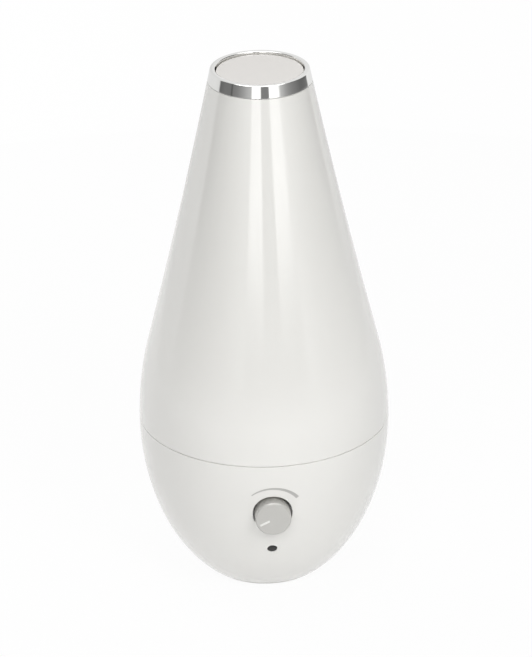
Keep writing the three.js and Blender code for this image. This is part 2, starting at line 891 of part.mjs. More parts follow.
function floatGauge() {
  const x = -floatOffset;
  const bore = floatPostRadius + slip;
  const ring = tube(floatRadius, bore, floatRest, floatRest + floatHeight, innerSides, x);
  const magnet = tube(magnetRadius, bore, magnetRest, magnetRest + magnetHeight, smallSides, x);
  const clipBore = floatPostRadius + seat;
  const clip = tube(clipRadius, clipBore, clipBottom, clipBottom + clipThickness, smallSides, x);
  const [boardX, boardY] = levelBoard;
  const top = wellUnder - seat;
  const board = box([x - boardX / 2, -boardY / 2, top - boardThickness], [x + boardX / 2, boardY / 2, top]);
  add("float_ring", foam, ring);
  add("float_magnet", ferrite, magnet);
  add("float_clip", innerWhite, clip);
  add("level_sensor_board", boardGreen, board);
}

function trayAndFittings() {
  add("water_tray", innerWhite, waterTray());
  const headTop = trayFloor - seat / 2;
  const inverted = screw(caseScrew).rotate([180, 0, 0]).translate([0, 0, headTop]);
  trayScrewAngles.forEach((angle, i) => {
    add(`tray_screw_${i + 1}`, steel, onCircle(inverted, trayScrewCircle, angle));
  });
  transducer();
  airHood();
  floatGauge();
}

// ---------------------------------------------------------------- blower

// The spiral outline of the blower's case with its outlet channel, grown by a wall.
function voluteOutline(grow) {
  const left = voluteEnd - outletWidth - grow;
  const from = Math.acos(left / (voluteStart + grow));
  const steps = 15;
  const spiral = Array.from({ length: steps + 1 }, (_, i) => {
    const angle = from + ((2 * Math.PI - from) * i) / steps;
    const r = voluteStart + ((voluteEnd - voluteStart) * i) / steps + grow;
    return [r * Math.cos(angle), r * Math.sin(angle)];
  });
  const top = blowerDrop + (grow > 0 ? 0 : sunk);
  return [...spiral, [voluteEnd + grow, top], [left, top]];
}

const atBlower = (shape) => shape.translate([blowerCentreX, 0, blowerCentreZ]);

function blowerCase() {
  const split = blowerFront + blowerWall;
  const floor = blowerBack - blowerWall;
  const hollow = slabAlongY(voluteOutline(0), split - sunk, floor);
  const cup = cut(slabAlongY(voluteOutline(blowerWall), split, blowerBack), hollow);
  const axle = rodAlongY(axleRadius, floor - rotorDepth, floor + sunk, screwSides);
  add("blower_case", blackPlastic, atBlower(join(cup, axle)));

  const lid = slabAlongY(voluteOutline(blowerWall), blowerFront, split - seat);
  const inlet = rodAlongY(inletRadius, blowerFront - sunk, split, innerSides);
  add("blower_lid", blackPlastic, atBlower(cut(lid, inlet)));

  const coil = rodAlongY(statorRadius, floor - seat - statorDepth, floor - seat, smallSides);
  const bore = rodAlongY(axleRadius + seat, blowerFront, blowerBack, screwSides);
  add("blower_stator", copper, atBlower(cut(coil, bore)));
}

// One forward-curved blade of the blower's wheel, as an outline round its axis.
function bladeOutline() {
  const steps = 2;
  const inner = rotorRadius - bladeDepth;
  const edge = (thickness) =>
    Array.from({ length: steps + 1 }, (_, i) => {
      const t = i / steps;
      const r = inner + bladeDepth * t;
      const angle = bladeSweep * t * t + thickness / r;
      return [r * Math.cos(angle), r * Math.sin(angle)];
    });
  return [...edge(0), ...edge(bladeThickness).reverse()];
}

function blowerWheel() {
  const back = blowerBack - blowerWall - rotorGap;
  const front = back - rotorDepth;
  const plate = 1.2;
  const hub = cut(
    rodAlongY(hubRadius, front + plate, back, smallSides),
    rodAlongY(hubRadius - hubWall, front + 2 * plate, back + sunk, smallSides),
    rodAlongY(axleRadius + seat, front, back, screwSides),
  );
  const disc = cut(
    rodAlongY(rotorRadius, back - plate, back, innerSides),
    rodAlongY(hubRadius - sunk, front, back + sunk, smallSides),
  );
  const ring = cut(
    rodAlongY(rotorRadius, front, front + plate, innerSides),
    rodAlongY(rotorRadius - 2 * bladeThickness, front - sunk, front + 2 * plate, innerSides),
  );
  const blade = slabAlongY(bladeOutline(), front + plate / 2, back - plate / 2);
  const blades = around(bladeCount).map((angle) => blade.rotate([0, degrees(angle), 0]));
  add("blower_wheel", blackPlastic, atBlower(join(hub, disc, ring, blades)));
}

// ---------------------------------------------------------------- power parts

// A laminated core with two windows, on the strap that is screwed to its posts.
function transformerCore() {
  const low = transformerLevel;
  const coreLow = low + strapThickness - seat;
  const front = transformerBack - coreDepth / 2;
  const back = transformerBack + coreDepth / 2;
  const core = box([-coreWidth / 2, front, coreLow], [coreWidth / 2, back, coreLow + coreHeight]);
  const window = box(
    [coreLeg / 2, front - 1, coreLow + coreWindow],
    [coreLeg / 2 + coreWindow, back + 1, coreLow + coreHeight - coreWindow],
  );
  const strap = box([-strapWidth / 2, front, low], [strapWidth / 2, back, low + strapThickness]);
  const holeRadius = caseScrew.shank + seat;
  const holeTop = low + 2 * strapThickness;
  const hole = rod(holeRadius, low - 1, holeTop, screwSides, strapHole, transformerBack);
  add("transformer_core", ferrite, cut(join(core, strap), mirrored(window), mirrored(hole)));

  const coil = box(
    [seat - coreLeg / 2 - coreWindow, front - coilProud, coreLow + coreWindow + seat],
    [coreLeg / 2 + coreWindow - seat, back + coilProud, coreLow + coreHeight - coreWindow - seat],
  );
  const leg = box(
    [-coreLeg / 2 - seat, front - seat, low],
    [coreLeg / 2 + seat, back + seat, coreLow + coreHeight],
  );
  add("transformer_coil", copper, cut(coil, leg));
}

function driverBoard() {
  const front = -boardPlace - boardThickness / 2;
  const board = box(
    [-boardWidth / 2, front, boardLow + seat],
    [boardWidth / 2, front + boardThickness, boardHigh],
  );
  add("driver_board", boardGreen, board);

  const sinkLeft = -boardPlace;
  const face = front - seat;
  const block = box([sinkLeft, face - sinkBase, sinkLow], [sinkLeft + sinkWidth, face, sinkHigh]);
  const pitch = (sinkWidth - sinkFin) / (sinkFins - 1);
  const fins = Array.from({ length: sinkFins }, (_, i) => {
    const x = sinkLeft + pitch * i;
    return box([x, face - sinkDepth, sinkLow], [x + sinkFin, face - sinkBase + sunk, sinkHigh]);
  });
  add("heat_sink", aluminium, join(block, fins));

  for (let i = 0; i < capacitorCount; i++) {
    const x = boardWidth / 2 - (2 * capacitorRadius + sunk) * (i + 0.5) - boardPostWidth / 2;
    const can = rodAlongY(capacitorRadius, face - capacitorLength, face, smallSides, x, capacitorHeight);
    add(`capacitor_${i + 1}`, blackPlastic, can);
  }
}

function cordBush() {
  const flange = rodAlongY(bushFlange, cordFloor + seat, cordFloor + seat + bushWall, smallSides);
  const body = rodAlongY(
    cordHoleRadius + bushWall,
    cordFloor - 2 * innerWall,
    cordFloor + seat + sunk,
    smallSides,
  );
  const hole = rodAlongY(cordHoleRadius, 0, bellyRadius, smallSides);
  add("cord_bush", rubber, cut(join(flange, body), hole).translate([0, 0, cordHeight]));
}

// ---------------------------------------------------------------- control

function potentiometer() {
  const bushFront = -knobWellFloor - bushLength + knobWellWall;
  const body = join(
    rodAlongY(potRadius, potFront, potBack, smallSides),
    rodAlongY(bushRadius, bushFront, potFront + sunk, smallSides),
  );
  const bore = rodAlongY(shaftRadius + seat, -knobFace, potFront + potDepth / 2, smallSides);
  add("potentiometer", steel, cut(body, bore).translate([0, 0, knobHeight]));

  const nut = cut(
    rodAlongY(nutRadius, -knobWellFloor - seat - nutThickness, -knobWellFloor - seat, 6),
    rodAlongY(bushRadius + seat, -knobFace, 0, smallSides),
  );
  add("pot_nut", steel, nut.translate([0, 0, knobHeight]));

  const shaftTip = -knobFace + knobWall + 2 * knobChamfer + seat;
  const shaft = rodAlongY(shaftRadius, shaftTip, potFront + potDepth / 2 - seat, smallSides, 0, knobHeight);
  add("pot_shaft", steel, shaft);
}

function indicator() {
  const board = box(
    [-controlBoardHalf, controlBoardFront, lensHeight - 2 * lensRadius],
    [controlBoardHalf, controlBoardFront + boardThickness, knobHeight + potRadius],
  );
  add("control_board", boardGreen, board);
  const lensBack = -outlineRadius(lensHeight) + lensDepth;
  const ledRadius = lensRadius * 0.7;
  const ledFront = lensBack + ledRadius / 2 + seat;
  const led = rodAlongY(ledRadius, ledFront, controlBoardFront - seat, smallSides, 0, lensHeight);
  add("indicator_led", ledGreen, led);
  const lens = rodAlongY(lensRadius, -0.1, lensDepth, smallSides);
  add("indicator_lens", smokedLens, squareToFront(lens, lensHeight));
}

// The knob's slot for its pointer, or the pointer itself, as a bar on the knob's face.
function pointerBar(grow, depth) {
  const half = pointerWidth / 2 + grow;
  return box(
    [pointerStart - grow, -knobFace - 0.15, -half],
    [pointerStart + pointerLength + grow, -knobFace - 0.15 + depth, half],
  )
    .rotate([0, -degrees(pointerAngle), 0])
    .translate([0, 0, knobHeight]);
}

// A hollow cap with a socket for the shaft behind its face.
function controlKnob() {
  const back = knobWellFloor + 2 * slip;
  const socket = shaftRadius + knobWall;
  const socketBack = knobWellFloor + nutThickness + bushLength / 2;
  const faceBack = knobFace - knobWall - knobChamfer;
  const faceRadius = knobRadius - knobDraft;
  const cap = revolve(
    [
      [0, knobFace],
      [faceRadius - knobChamfer, knobFace],
      [faceRadius, knobFace - knobChamfer],
      [knobRadius, back],
      [knobRadius - knobWall, back],
      [knobRadius - knobWall, faceBack],
      [socket, faceBack],
      [socket, socketBack],
      [shaftRadius + seat, socketBack],
      [shaftRadius + seat, faceBack - knobChamfer],
      [0, faceBack - knobChamfer],
    ],
    innerSides,
  );
  return cap.rotate([90, 0, 0]).translate([0, 0, knobHeight]);
}

function knob() {
  const slotDepth = pointerDepth + 2 * seat;
  add("control_knob", silver, cut(controlKnob(), pointerBar(seat / 2, slotDepth)));
  add("knob_pointer", printWhite, pointerBar(0, pointerDepth));
}

// ---------------------------------------------------------------- tank

function tankShell() {
  const top = ringBottom - seat;
  return revolve(
    [
      [outlineRadius(tankBottom) - edgeRound, tankBottom],
      ...tankOutline(tankBottom + edgeRound, shoulderTop, 4),
      ...tankOutline(shoulderTop, top, 3).slice(1),
      ...tankOutline(top, shoulderTop, 2, shellWall),
      ...tankOutline(shoulderTop, tankBottom, 3, shellWall).slice(1),
    ],
    bodySides,
  );
}

// The tank's floor: a foot that nests in the tray, a ring that holds the chimney's funnel
// over the mist chamber, and the short neck that the filler cap locks on.
function tankFloor() {
  const flangeTop = tankBottom + flangeHeight;
  const flange = insideRadius(flangeTop, shellWall) - seat - facetSlack;
  const footInner = tankFoot - innerWall;
  const socketTop = tankFloorTop + funnelSocket;
  const floor = revolve(
    [
      [funnelBore, tankUnderside],
      [tankFoot, tankUnderside],
      [tankFoot, tankBottom + seat],
      [flange, tankBottom + seat],
      [flange, flangeTop],
      [footInner, flangeTop],
      [footInner, tankFloorTop],
      [funnelHolder + innerWall, tankFloorTop],
      [funnelHolder + innerWall, socketTop],
      [funnelHolder, socketTop],
      [funnelHolder, tankFloorTop],
      [funnelBore, tankFloorTop],
    ],
    bodySides,
  );
  const neck = rod(neckRadius, neckBottom, tankUnderside + sunk, innerSides, 0, fillerOffset);
  const bore = rod(neckRadius - neckWall, capFloor, tankFloorTop + sunk, innerSides, 0, fillerOffset);
  return cut(join(floor, neck), bore);
}

// The mist's chimney, a tube that opens into a funnel over the mist chamber.
function mistChimney() {
  const shoulder = chimneyWall * Math.tan(Math.PI / 8); // keeps the cone's wall as thick
  return revolve(
    [
      [funnelBore, chimneyFoot],
      [funnelOuter, chimneyFoot],
      [funnelOuter, chamberTop + shoulder],
      [chimneyOuter, coneTop + shoulder],
      [chimneyOuter, chimneyTop],
      [chimneyBore, chimneyTop],
      [chimneyBore, coneTop],
      [funnelBore, chamberTop],
    ],
    bodySides,
  );
}

function outletCollar() {
  const outer = insideRadius(ringBottom, shellWall) - seat;
  const inner = outer - collarWall;
  const top = ringBottom - seat;
  return revolve(
    [
      [inner, top],
      [inner, collarFloor],
      [collarLip, collarFloor],
      [collarLip, chimneyTop],
      [chimneyHolder, chimneyTop],
      [chimneyHolder, collarUnder - chimneySocket],
      [chimneyHolder + innerWall, collarUnder - chimneySocket],
      [chimneyHolder + innerWall, collarUnder],
      [outer - innerWall, collarUnder],
      [outer, collarFloor],
      [outer, top],
    ],
    innerSides,
  );
}

function chromeRing() {
  return revolve(
    [
      [ringInner, ringBottom],
      [outlineRadius(ringBottom), ringBottom],
      [outlineRadius(totalHeight - ringRound), totalHeight - ringRound],
      [mouthRadius - ringRound * 0.3, totalHeight - ringRound * 0.3],
      [mouthRadius - ringRound, totalHeight],
      [ringInner + edgeRound, totalHeight],
      [ringInner, totalHeight - edgeRound],
    ],
    bodySides,
  );
}

// An O-ring round the chimney, resting on the end of a socket.
function chimneySeal(radius, z) {
  const centre = radius + sealWire + facetSlack;
  const section = around(4).map((angle) => [
    centre + sealWire * Math.cos(angle),
    z + sealWire * Math.sin(angle),
  ]);
  return revolve(section, bodySides);
}

function tank() {
  const sealLift = sealWire + seat;
  const lowerSeal = chimneySeal(funnelOuter, tankFloorTop + funnelSocket + sealLift);
  const upperSeal = chimneySeal(chimneyOuter, collarUnder - chimneySocket - sealLift);
  add("tank_shell", pearlWhite, tankShell());
  add("tank_floor", clearGrey, tankFloor());
  add("mist_chimney", clearGrey, mistChimney());
  add("outlet_collar", innerWhite, outletCollar());
  add("chrome_ring", chrome, chromeRing());
  add("chimney_seal_lower", siliconeGrey, lowerSeal);
  add("chimney_seal_upper", siliconeGrey, upperSeal);
}

// One of the webs that carry the disc: a foot on the collar and a leg on the spigot.
function discWeb(spigot) {
  const half = webThickness / 2;
  const top = discBottom + sunk;
  const legLow = chimneyTop - webThickness;
  const bridgeLow = chimneyTop + 2 * webThickness;
  return join(
    box([collarLip + slip, -half, collarFloor + seat], [discRadius - innerWall, half, top]),
    box([spigot - collarWall, -half, legLow], [spigot - facetSlack, half, top]),
    box([spigot - 1, -half, bridgeLow], [discRadius - innerWall, half, top]),
  );
}

// The disc that lifts out of the ring, on webs and a spigot that drops into the chimney.
function outletDisc() {
  const spigot = chimneyBore - slip;
  const disc = revolve(
    [
      [0, discBottom],
      [discRadius, discBottom],
      [discRadius, discTop - edgeRound],
      [discRadius - edgeRound, discTop],
      [discRadius * 0.7, discTop - discDish * 0.6],
      [0, discTop - discDish],
    ],
    bodySides,
  );
  const ring = tube(spigot, spigot - collarWall, chimneyTop - spigotDepth, chimneyTop, innerSides);
  const webs = around(webCount, Math.PI / webCount).map((angle) => turned(discWeb(spigot), angle));
  add("outlet_disc", pearlWhite, join(disc, ring, webs));
}

// ---------------------------------------------------------------- filler cap and valve

// The cap with its grips, and the cage that guides the valve inside the neck.
function fillerCap() {
  const skirt = revolve(
    [
      [0, capBottom],
      [capRadius - edgeRound, capBottom],
      [capRadius, capBottom + edgeRound],
      [capRadius, capTop],
      [neckRadius + slip, capTop],
      [neckRadius + slip, capFloor],
      [0, capFloor],
    ],
    innerSides,
  );
  const grip = box(
    [capRadius - sunk, -1, capBottom + capGripDepth],
    [capRadius + capGripDepth, 1, capTop - capGripDepth],
  );
  const leg = box([cageRadius - cageWall, -1.2, capFloor - sunk], [cageRadius, 1.2, cageTop]);
  const bridge = rod(cageRadius, cageTop - capWall, cageTop, smallSides);
  const port = box([stemRadius + cageWall, -1.6, capBottom - 1], [valveRadius - 1.6, 1.6, capFloor + 1]);
  const window = box(
    [springRadius + 1.2, -3, cageTop - 2 * capWall],
    [cageRadius - cageWall - sunk, 3, cageTop + 1],
  );
  const around3 = (shape, first) => around(portCount, first).map((angle) => turned(shape, angle));
  return cut(
    join(
      skirt,
      around(capGripCount).map((angle) => turned(grip, angle)),
      around(cageLegs, Math.PI / cageLegs).map((angle) => turned(leg, angle)),
      bridge,
    ),
    around3(port, 0),
    around3(window, 0),
    rod(stemRadius + seat, capBottom - 1, cageTop + 1, smallSides),
  );
}

// The coil that presses the valve shut, between the plunger and the cage's bridge.
function valveSpring() {
  const low = plungerTop + seat + springWire;
  const high = cageTop - capWall - seat - springWire;
  class Helix extends THREE.Curve {
    getPoint(t, target = new THREE.Vector3()) {
      const angle = 2 * Math.PI * springTurns * t;
      const height = low + (high - low) * t;
      return target.set(springRadius * Math.cos(angle), springRadius * Math.sin(angle), height);
    }
  }
  const corners = around(4).map(
    (angle) => new THREE.Vector2(springWire * Math.cos(angle), springWire * Math.sin(angle)),
  );
  const sweep = { steps: springTurns * 10, extrudePath: new Helix(), bevelEnabled: false };
  return solid(new THREE.ExtrudeGeometry(new THREE.Shape(corners), sweep));
}

function valvePlunger() {
  const top = cageTop - capWall - seat;
  return revolve(
    [
      [0, valvePostTop + seat],
      [stemRadius, valvePostTop + seat],
      [stemRadius, plungerBottom],
      [valveRadius, plungerBottom],
      [valveRadius, plungerTop],
      [stemRadius, plungerTop],
      [stemRadius, top],
      [0, top],
    ],
    smallSides,
  );
}

function filler() {
  const place = (shape) => shape.translate([0, fillerOffset, 0]);
  const gasketTop = neckBottom - seat;
  const gasket = tube(neckRadius, neckRadius - neckWall, capFloor + seat, gasketTop, innerSides);
  const valveSeal = tube(
    valveRadius,
    stemRadius + seat,
    valveSealRest,
    valveSealRest + valveSealThickness,
    smallSides,
  );
  add("filler_cap", innerWhite, place(fillerCap()));
  add("filler_gasket", siliconeGrey, place(gasket));
  add("valve_seal", siliconeGrey, place(valveSeal));
  add("valve_plunger", innerWhite, place(valvePlunger()));
  add("valve_spring", steel, place(valveSpring()));
}

// ---------------------------------------------------------------- build

baseShells();
trayAndFittings();
blowerCase();
blowerWheel();
transformerCore();
driverBoard();
cordBush();
potentiometer();
indicator();
knob();
tank();
outletDisc();
filler();

export default humidifier;
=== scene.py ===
"""Looks of a teardrop cool mist humidifier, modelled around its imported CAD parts.

Sizes in the sub-assemblies are millimetres, in the frame of the CAD model: +Z up, the knob
facing -Y. Levels and places that a CAD node already has are read from the frame.
"""

import logging
import math
from collections.abc import Iterable, Sequence
from dataclasses import dataclass
from enum import Enum

import bpy
from mathutils import Matrix, Vector


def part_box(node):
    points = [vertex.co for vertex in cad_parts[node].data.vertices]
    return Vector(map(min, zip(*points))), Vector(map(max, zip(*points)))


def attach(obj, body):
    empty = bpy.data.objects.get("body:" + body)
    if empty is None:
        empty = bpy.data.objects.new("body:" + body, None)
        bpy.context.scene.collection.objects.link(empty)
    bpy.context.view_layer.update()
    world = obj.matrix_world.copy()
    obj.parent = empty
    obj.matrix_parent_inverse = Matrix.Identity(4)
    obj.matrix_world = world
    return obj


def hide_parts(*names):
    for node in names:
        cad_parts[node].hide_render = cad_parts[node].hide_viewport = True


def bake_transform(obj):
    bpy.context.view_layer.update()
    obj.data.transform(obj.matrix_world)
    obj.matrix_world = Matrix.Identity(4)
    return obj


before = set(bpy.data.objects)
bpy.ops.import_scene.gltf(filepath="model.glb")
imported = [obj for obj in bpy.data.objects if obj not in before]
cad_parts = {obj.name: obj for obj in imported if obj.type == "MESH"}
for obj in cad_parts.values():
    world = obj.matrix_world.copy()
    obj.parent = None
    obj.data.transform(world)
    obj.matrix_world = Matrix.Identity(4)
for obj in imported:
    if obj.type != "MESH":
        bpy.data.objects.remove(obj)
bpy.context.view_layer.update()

log = logging.getLogger("humidifier")

MM = 0.001  # metres in a millimetre
STILL = Matrix.Identity(4)
DOUBLED = 0.0005  # points of a mesh that lie nearer than this are one point
# Segments of a whole turn, from the shells down to the screws.
SHELL, WIDE, RING, WASHER, ROUND, SMALL, SCREW = 160, 128, 96, 80, 64, 48, 32
# Fillets of moulded edges, from the sharpest to the softest.
CRISP, EDGE, EASED, SOFT = 0.2, 0.3, 0.4, 0.5
SHARP = 35.0  # edges that bend by more degrees than this are softened

Pair = tuple[float, float]
Point = Pair  # a radius and a height, or an x and a z
Triple = tuple[float, float, float]
Colour = tuple[int, int, int]
Object = bpy.types.Object
Material = bpy.types.Material
Socket = bpy.types.NodeSocket


# -------- the frame's places


@dataclass(frozen=True)
class Place:
    """Where a CAD node lies, in millimetres."""

    low: Vector
    high: Vector

    @property
    def centre(self) -> Vector:
        """The middle of the node's box."""
        return (self.low + self.high) / 2

    @property
    def radius(self) -> float:
        """Half of the node's width along X."""
        return (self.high.x - self.low.x) / 2

    @property
    def levels(self) -> Pair:
        """The heights of the node's underside and its top."""
        return self.low.z, self.high.z

    @property
    def upright(self) -> Matrix:
        """The move from the Z axis to the node's own upright axis."""
        return shift(self.centre.x, self.centre.y)


def place(node: str) -> Place:
    """Reads a CAD node's box.

    Args:
        node: The node's name.

    Returns:
        Its lowest and highest corner, in millimetres.
    """
    low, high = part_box(node)
    return Place(low / MM, high / MM)


def numbered(name: str, count: int) -> list[str]:
    """The names of numbered CAD nodes, such as rubber_foot_1."""
    return [f"{name}_{i + 1}" for i in range(count)]


# -------- modelling bench


class Axis(Enum):
    """The way that a turned piece points."""

    UP = "up"
    FRONT = "front"
    BACK = "back"


class Cut(Enum):
    """How a tool body changes a piece."""

    AWAY = "DIFFERENCE"
    ON = "UNION"
    WITHIN = "INTERSECT"


def shift(x: float, y: float, z: float = 0.0) -> Matrix:
    """A move in millimetres."""
    return Matrix.Translation(Vector((x, y, z)) * MM)


def turn(angle: float, axis: str = "Z") -> Matrix:
    """A turn about one of the frame's axes, in radians."""
    return Matrix.Rotation(angle, 4, axis)


def around(count: int, first: float = 0.0) -> list[float]:
    """The angles of pieces spaced evenly round an axis, in radians."""
    return [first + 2 * math.pi * i / count for i in range(count)]


def activate(obj: Object) -> None:
    """Selects one object alone and makes it the active one.

    Args:
        obj: The object.
    """
    bpy.ops.object.select_all(action="DESELECT")
    obj.select_set(True)
    bpy.context.view_layer.objects.active = obj


def go_to(mode: str) -> None:
    """Puts the active object in a mode, EDIT or OBJECT."""
    bpy.ops.object.mode_set(mode=mode)


def name_new(name: str) -> Object:
    """Names the object and mesh that an operator has just added.

    Args:
        name: Their new name.

    Returns:
        The object.
    """
    obj = bpy.context.view_layer.objects.active
    obj.name = name
    obj.data.name = name
    return obj


def primitive(name: str, kind: str, **settings: object) -> Object:
    """Adds one of the mesh primitives with nothing else selected.

    Args:
        name: The new object's name.
        kind: The primitive: plane, cube or cylinder.
        settings: The settings of its operator.

    Returns:
        The object, selected and active.
    """
    bpy.ops.object.select_all(action="DESELECT")
    getattr(bpy.ops.mesh, f"primitive_{kind}_add")(**settings)
    return name_new(name)


def settle(obj: Object, matrix: Matrix = STILL) -> Object:
    """Moves a piece and puts the move into its mesh.

    Args:
        obj: The piece.
        matrix: The move, in the frame.

    Returns:
        The piece, its object at the origin again.
    """
    bpy.context.view_layer.update()
    obj.matrix_world = matrix @ obj.matrix_world
    activate(obj)
    bpy.ops.object.transform_apply(location=True, rotation=True, scale=True)
    return obj


def lay_down(obj: Object, axis: Axis) -> Object:
    """Turns a piece made about Z so that its height runs along -Y or +Y."""
    quarter = {Axis.UP: 0.0, Axis.FRONT: math.pi / 2, Axis.BACK: -math.pi / 2}[axis]
    return settle(obj, turn(quarter, "X"))


def rounded(corners: Sequence[tuple[float, ...]], steps: int) -> list[Point]:
    """Rounds the corners of an outline.

    Args:
        corners: Points as (radius, height) or (radius, height, fillet).
        steps: Segments of each fillet's arc.

    Returns:
        The outline with an arc in place of each corner that has a fillet.
    """
    points: list[Point] = []
    for i, corner in enumerate(corners):
        here = Vector(corner[:2])
        fillet = corner[2] if len(corner) > 2 else 0.0
        if not fillet:
            points.append(tuple(here))
            continue
        to_last = (Vector(corners[i - 1][:2]) - here).normalized()
        to_next = (Vector(corners[(i + 1) % len(corners)][:2]) - here).normalized()
        half = to_last.angle(to_next) / 2
        reach = fillet / math.tan(half)
        centre = here + (to_last + to_next).normalized() * (fillet / math.sin(half))
        start = here + to_last * reach - centre
        sweep = start.angle_signed(here + to_next * reach - centre)
        for k in range(steps + 1):
            points.append(tuple(centre + Matrix.Rotation(-sweep * k / steps, 2) @ start))
    return points


def chain(name: str, points: Sequence[Point]) -> Object:
    """Draws a line of edges in the XZ plane by extruding one vertex.

    Args:
        name: The new object's name.
        points: Its places as (x, z), in millimetres.

    Returns:
        The object, left in edit mode.
    """
    obj = primitive(name, "plane", size=MM)
    places = [Vector((x, 0, z)) * MM for x, z in points]
    go_to("EDIT")
    bpy.ops.mesh.select_all(action="SELECT")
    bpy.ops.mesh.merge(type="CENTER")
    bpy.ops.transform.translate(value=places[0])
    for last, here in zip(places, places[1:]):
        bpy.ops.mesh.extrude_region_move(TRANSFORM_OT_translate={"value": here - last})
    return obj


def merge_doubles() -> None:
    """Merges the points that lie on each other in the mesh being edited."""
    bpy.ops.mesh.select_all(action="SELECT")
    bpy.ops.mesh.remove_doubles(threshold=DOUBLED * MM)


def clean(obj: Object) -> None:
    """Merges doubled points and turns the faces outwards, and leaves edit mode.

    Args:
        obj: The object being edited.
    """
    merge_doubles()
    bpy.ops.mesh.normals_make_consistent(inside=False)
    go_to("OBJECT")
    obj.data.update()


def smooth(obj: Object, sharpest: float = 32.0) -> Object:
    """Shades a piece smooth but for its sharp edges.

    Args:
        obj: The piece.
        sharpest: The angle in degrees from which an edge stays sharp.

    Returns:
        The piece.
    """
    activate(obj)
    bpy.ops.object.shade_smooth_by_angle(angle=math.radians(sharpest))
    return obj


def revolve(
    name: str,
    corners: Sequence[tuple[float, ...]],
    steps: int,
    axis: Axis = Axis.UP,
    arc: int = 5,
) -> Object:
    """Turns an outline round an axis, as on a lathe.

    Args:
        name: The new object's name.
        corners: Points as (radius, height) or (radius, height, fillet), closed on itself or
            ending on the axis.
        steps: Segments of the whole turn.
        axis: UP turns about Z, FRONT or BACK lays the piece down, its height along -Y or +Y.
        arc: Segments of each fillet's arc.

    Returns:
        One closed body, smooth but for its sharp edges.
    """
    points = rounded(corners, arc)
    if points[0][0] > 0 or points[-1][0] > 0:
        points.append(points[0])
    obj = chain(name, points)
    merge_doubles()
    bpy.ops.mesh.select_all(action="SELECT")
    bpy.ops.mesh.spin(
        steps=steps, dupli=False, angle=2 * math.pi, center=(0, 0, 0), axis=(0, 0, 1)
    )
    clean(obj)
    return smooth(lay_down(obj, axis))


def block(name: str, low: Sequence[float], high: Sequence[float]) -> Object:
    """Makes a box.

    Args:
        name: The new object's name.
        low: Its lowest corner.
        high: Its highest corner.

    Returns:
        The box.
    """
    lowest, highest = Vector(low) * MM, Vector(high) * MM
    obj = primitive(name, "cube", size=1, location=(lowest + highest) / 2)
    obj.scale = highest - lowest
    return settle(obj)


def drum(
    name: str, radius: float, low: float, high: float, steps: int = ROUND, axis: Axis = Axis.UP
) -> Object:
    """Makes a round bar on the Z axis, or on the Y axis.

    Args:
        name: The new object's name.
        radius: Its radius.
        low: Where it begins along its axis.
        high: Where it ends.
        steps: Segments of the whole turn.
        axis: The way that it points.

    Returns:
        The bar.
    """
    middle = (0, 0, (low + high) / 2 * MM)
    obj = primitive(
        name, "cylinder", vertices=steps, radius=radius * MM, depth=(high - low) * MM, location=middle
    )
    return lay_down(obj, axis)


def apply_modifier(obj: Object, kind: str, **settings: object) -> Object:
    """Adds a modifier to a piece and applies it.

    Args:
        obj: The piece.
        kind: The modifier's type.
        settings: The modifier's settings.

    Returns:
        The piece.
    """
    activate(obj)
    bpy.ops.object.modifier_add(type=kind)
    modifier = obj.modifiers[-1]
    for key, value in settings.items():
        setattr(modifier, key, value)
    bpy.ops.object.modifier_apply(modifier=modifier.name)
    return obj


def carve(obj: Object, tools: Iterable[Object], how: Cut = Cut.AWAY) -> Object:
    """Cuts bodies from a piece, adds them, or keeps what lies in them.

    Args:
        obj: The piece.
        tools: The bodies, which are used up.
        how: What they do to the piece.

    Returns:
        The piece.
    """
    for tool in tools:
        apply_modifier(obj, "BOOLEAN", object=tool, operation=how.value, solver="EXACT")
        bpy.data.objects.remove(tool)
    return obj


def soften(obj: Object, width: float, segments: int = 3) -> Object:
    """Rounds the sharp edges of a piece.

    Args:
        obj: The piece.
        width: The width of the rounding.
        segments: Segments of its arc.

    Returns:
        The piece.
    """
    limit = {"limit_method": "ANGLE", "angle_limit": math.radians(SHARP)}
    apply_modifier(obj, "BEVEL", width=width * MM, segments=segments, harden_normals=False, **limit)
    return smooth(obj)


def copy(obj: Object, name: str, matrix: Matrix) -> Object:
    """Copies a piece, with a mesh of its own.

    Args:
        obj: The piece.
        name: The copy's name.
        matrix: How the copy is moved.

    Returns:
        The copy.
    """
    activate(obj)
    bpy.ops.object.duplicate(linked=False)
    return settle(name_new(name), matrix)


def ring_of(obj: Object, angles: Sequence[float]) -> list[Object]:
    """Copies a piece to each angle round the Z axis, and uses up the first.

    Args:
        obj: The piece.
        angles: The angles, in radians.

    Returns:
        The copies.
    """
    copies = [copy(obj, f"{obj.name}_{i}", turn(angle)) for i, angle in enumerate(angles)]
    bpy.data.objects.remove(obj)
    return copies


# -------- shader groups


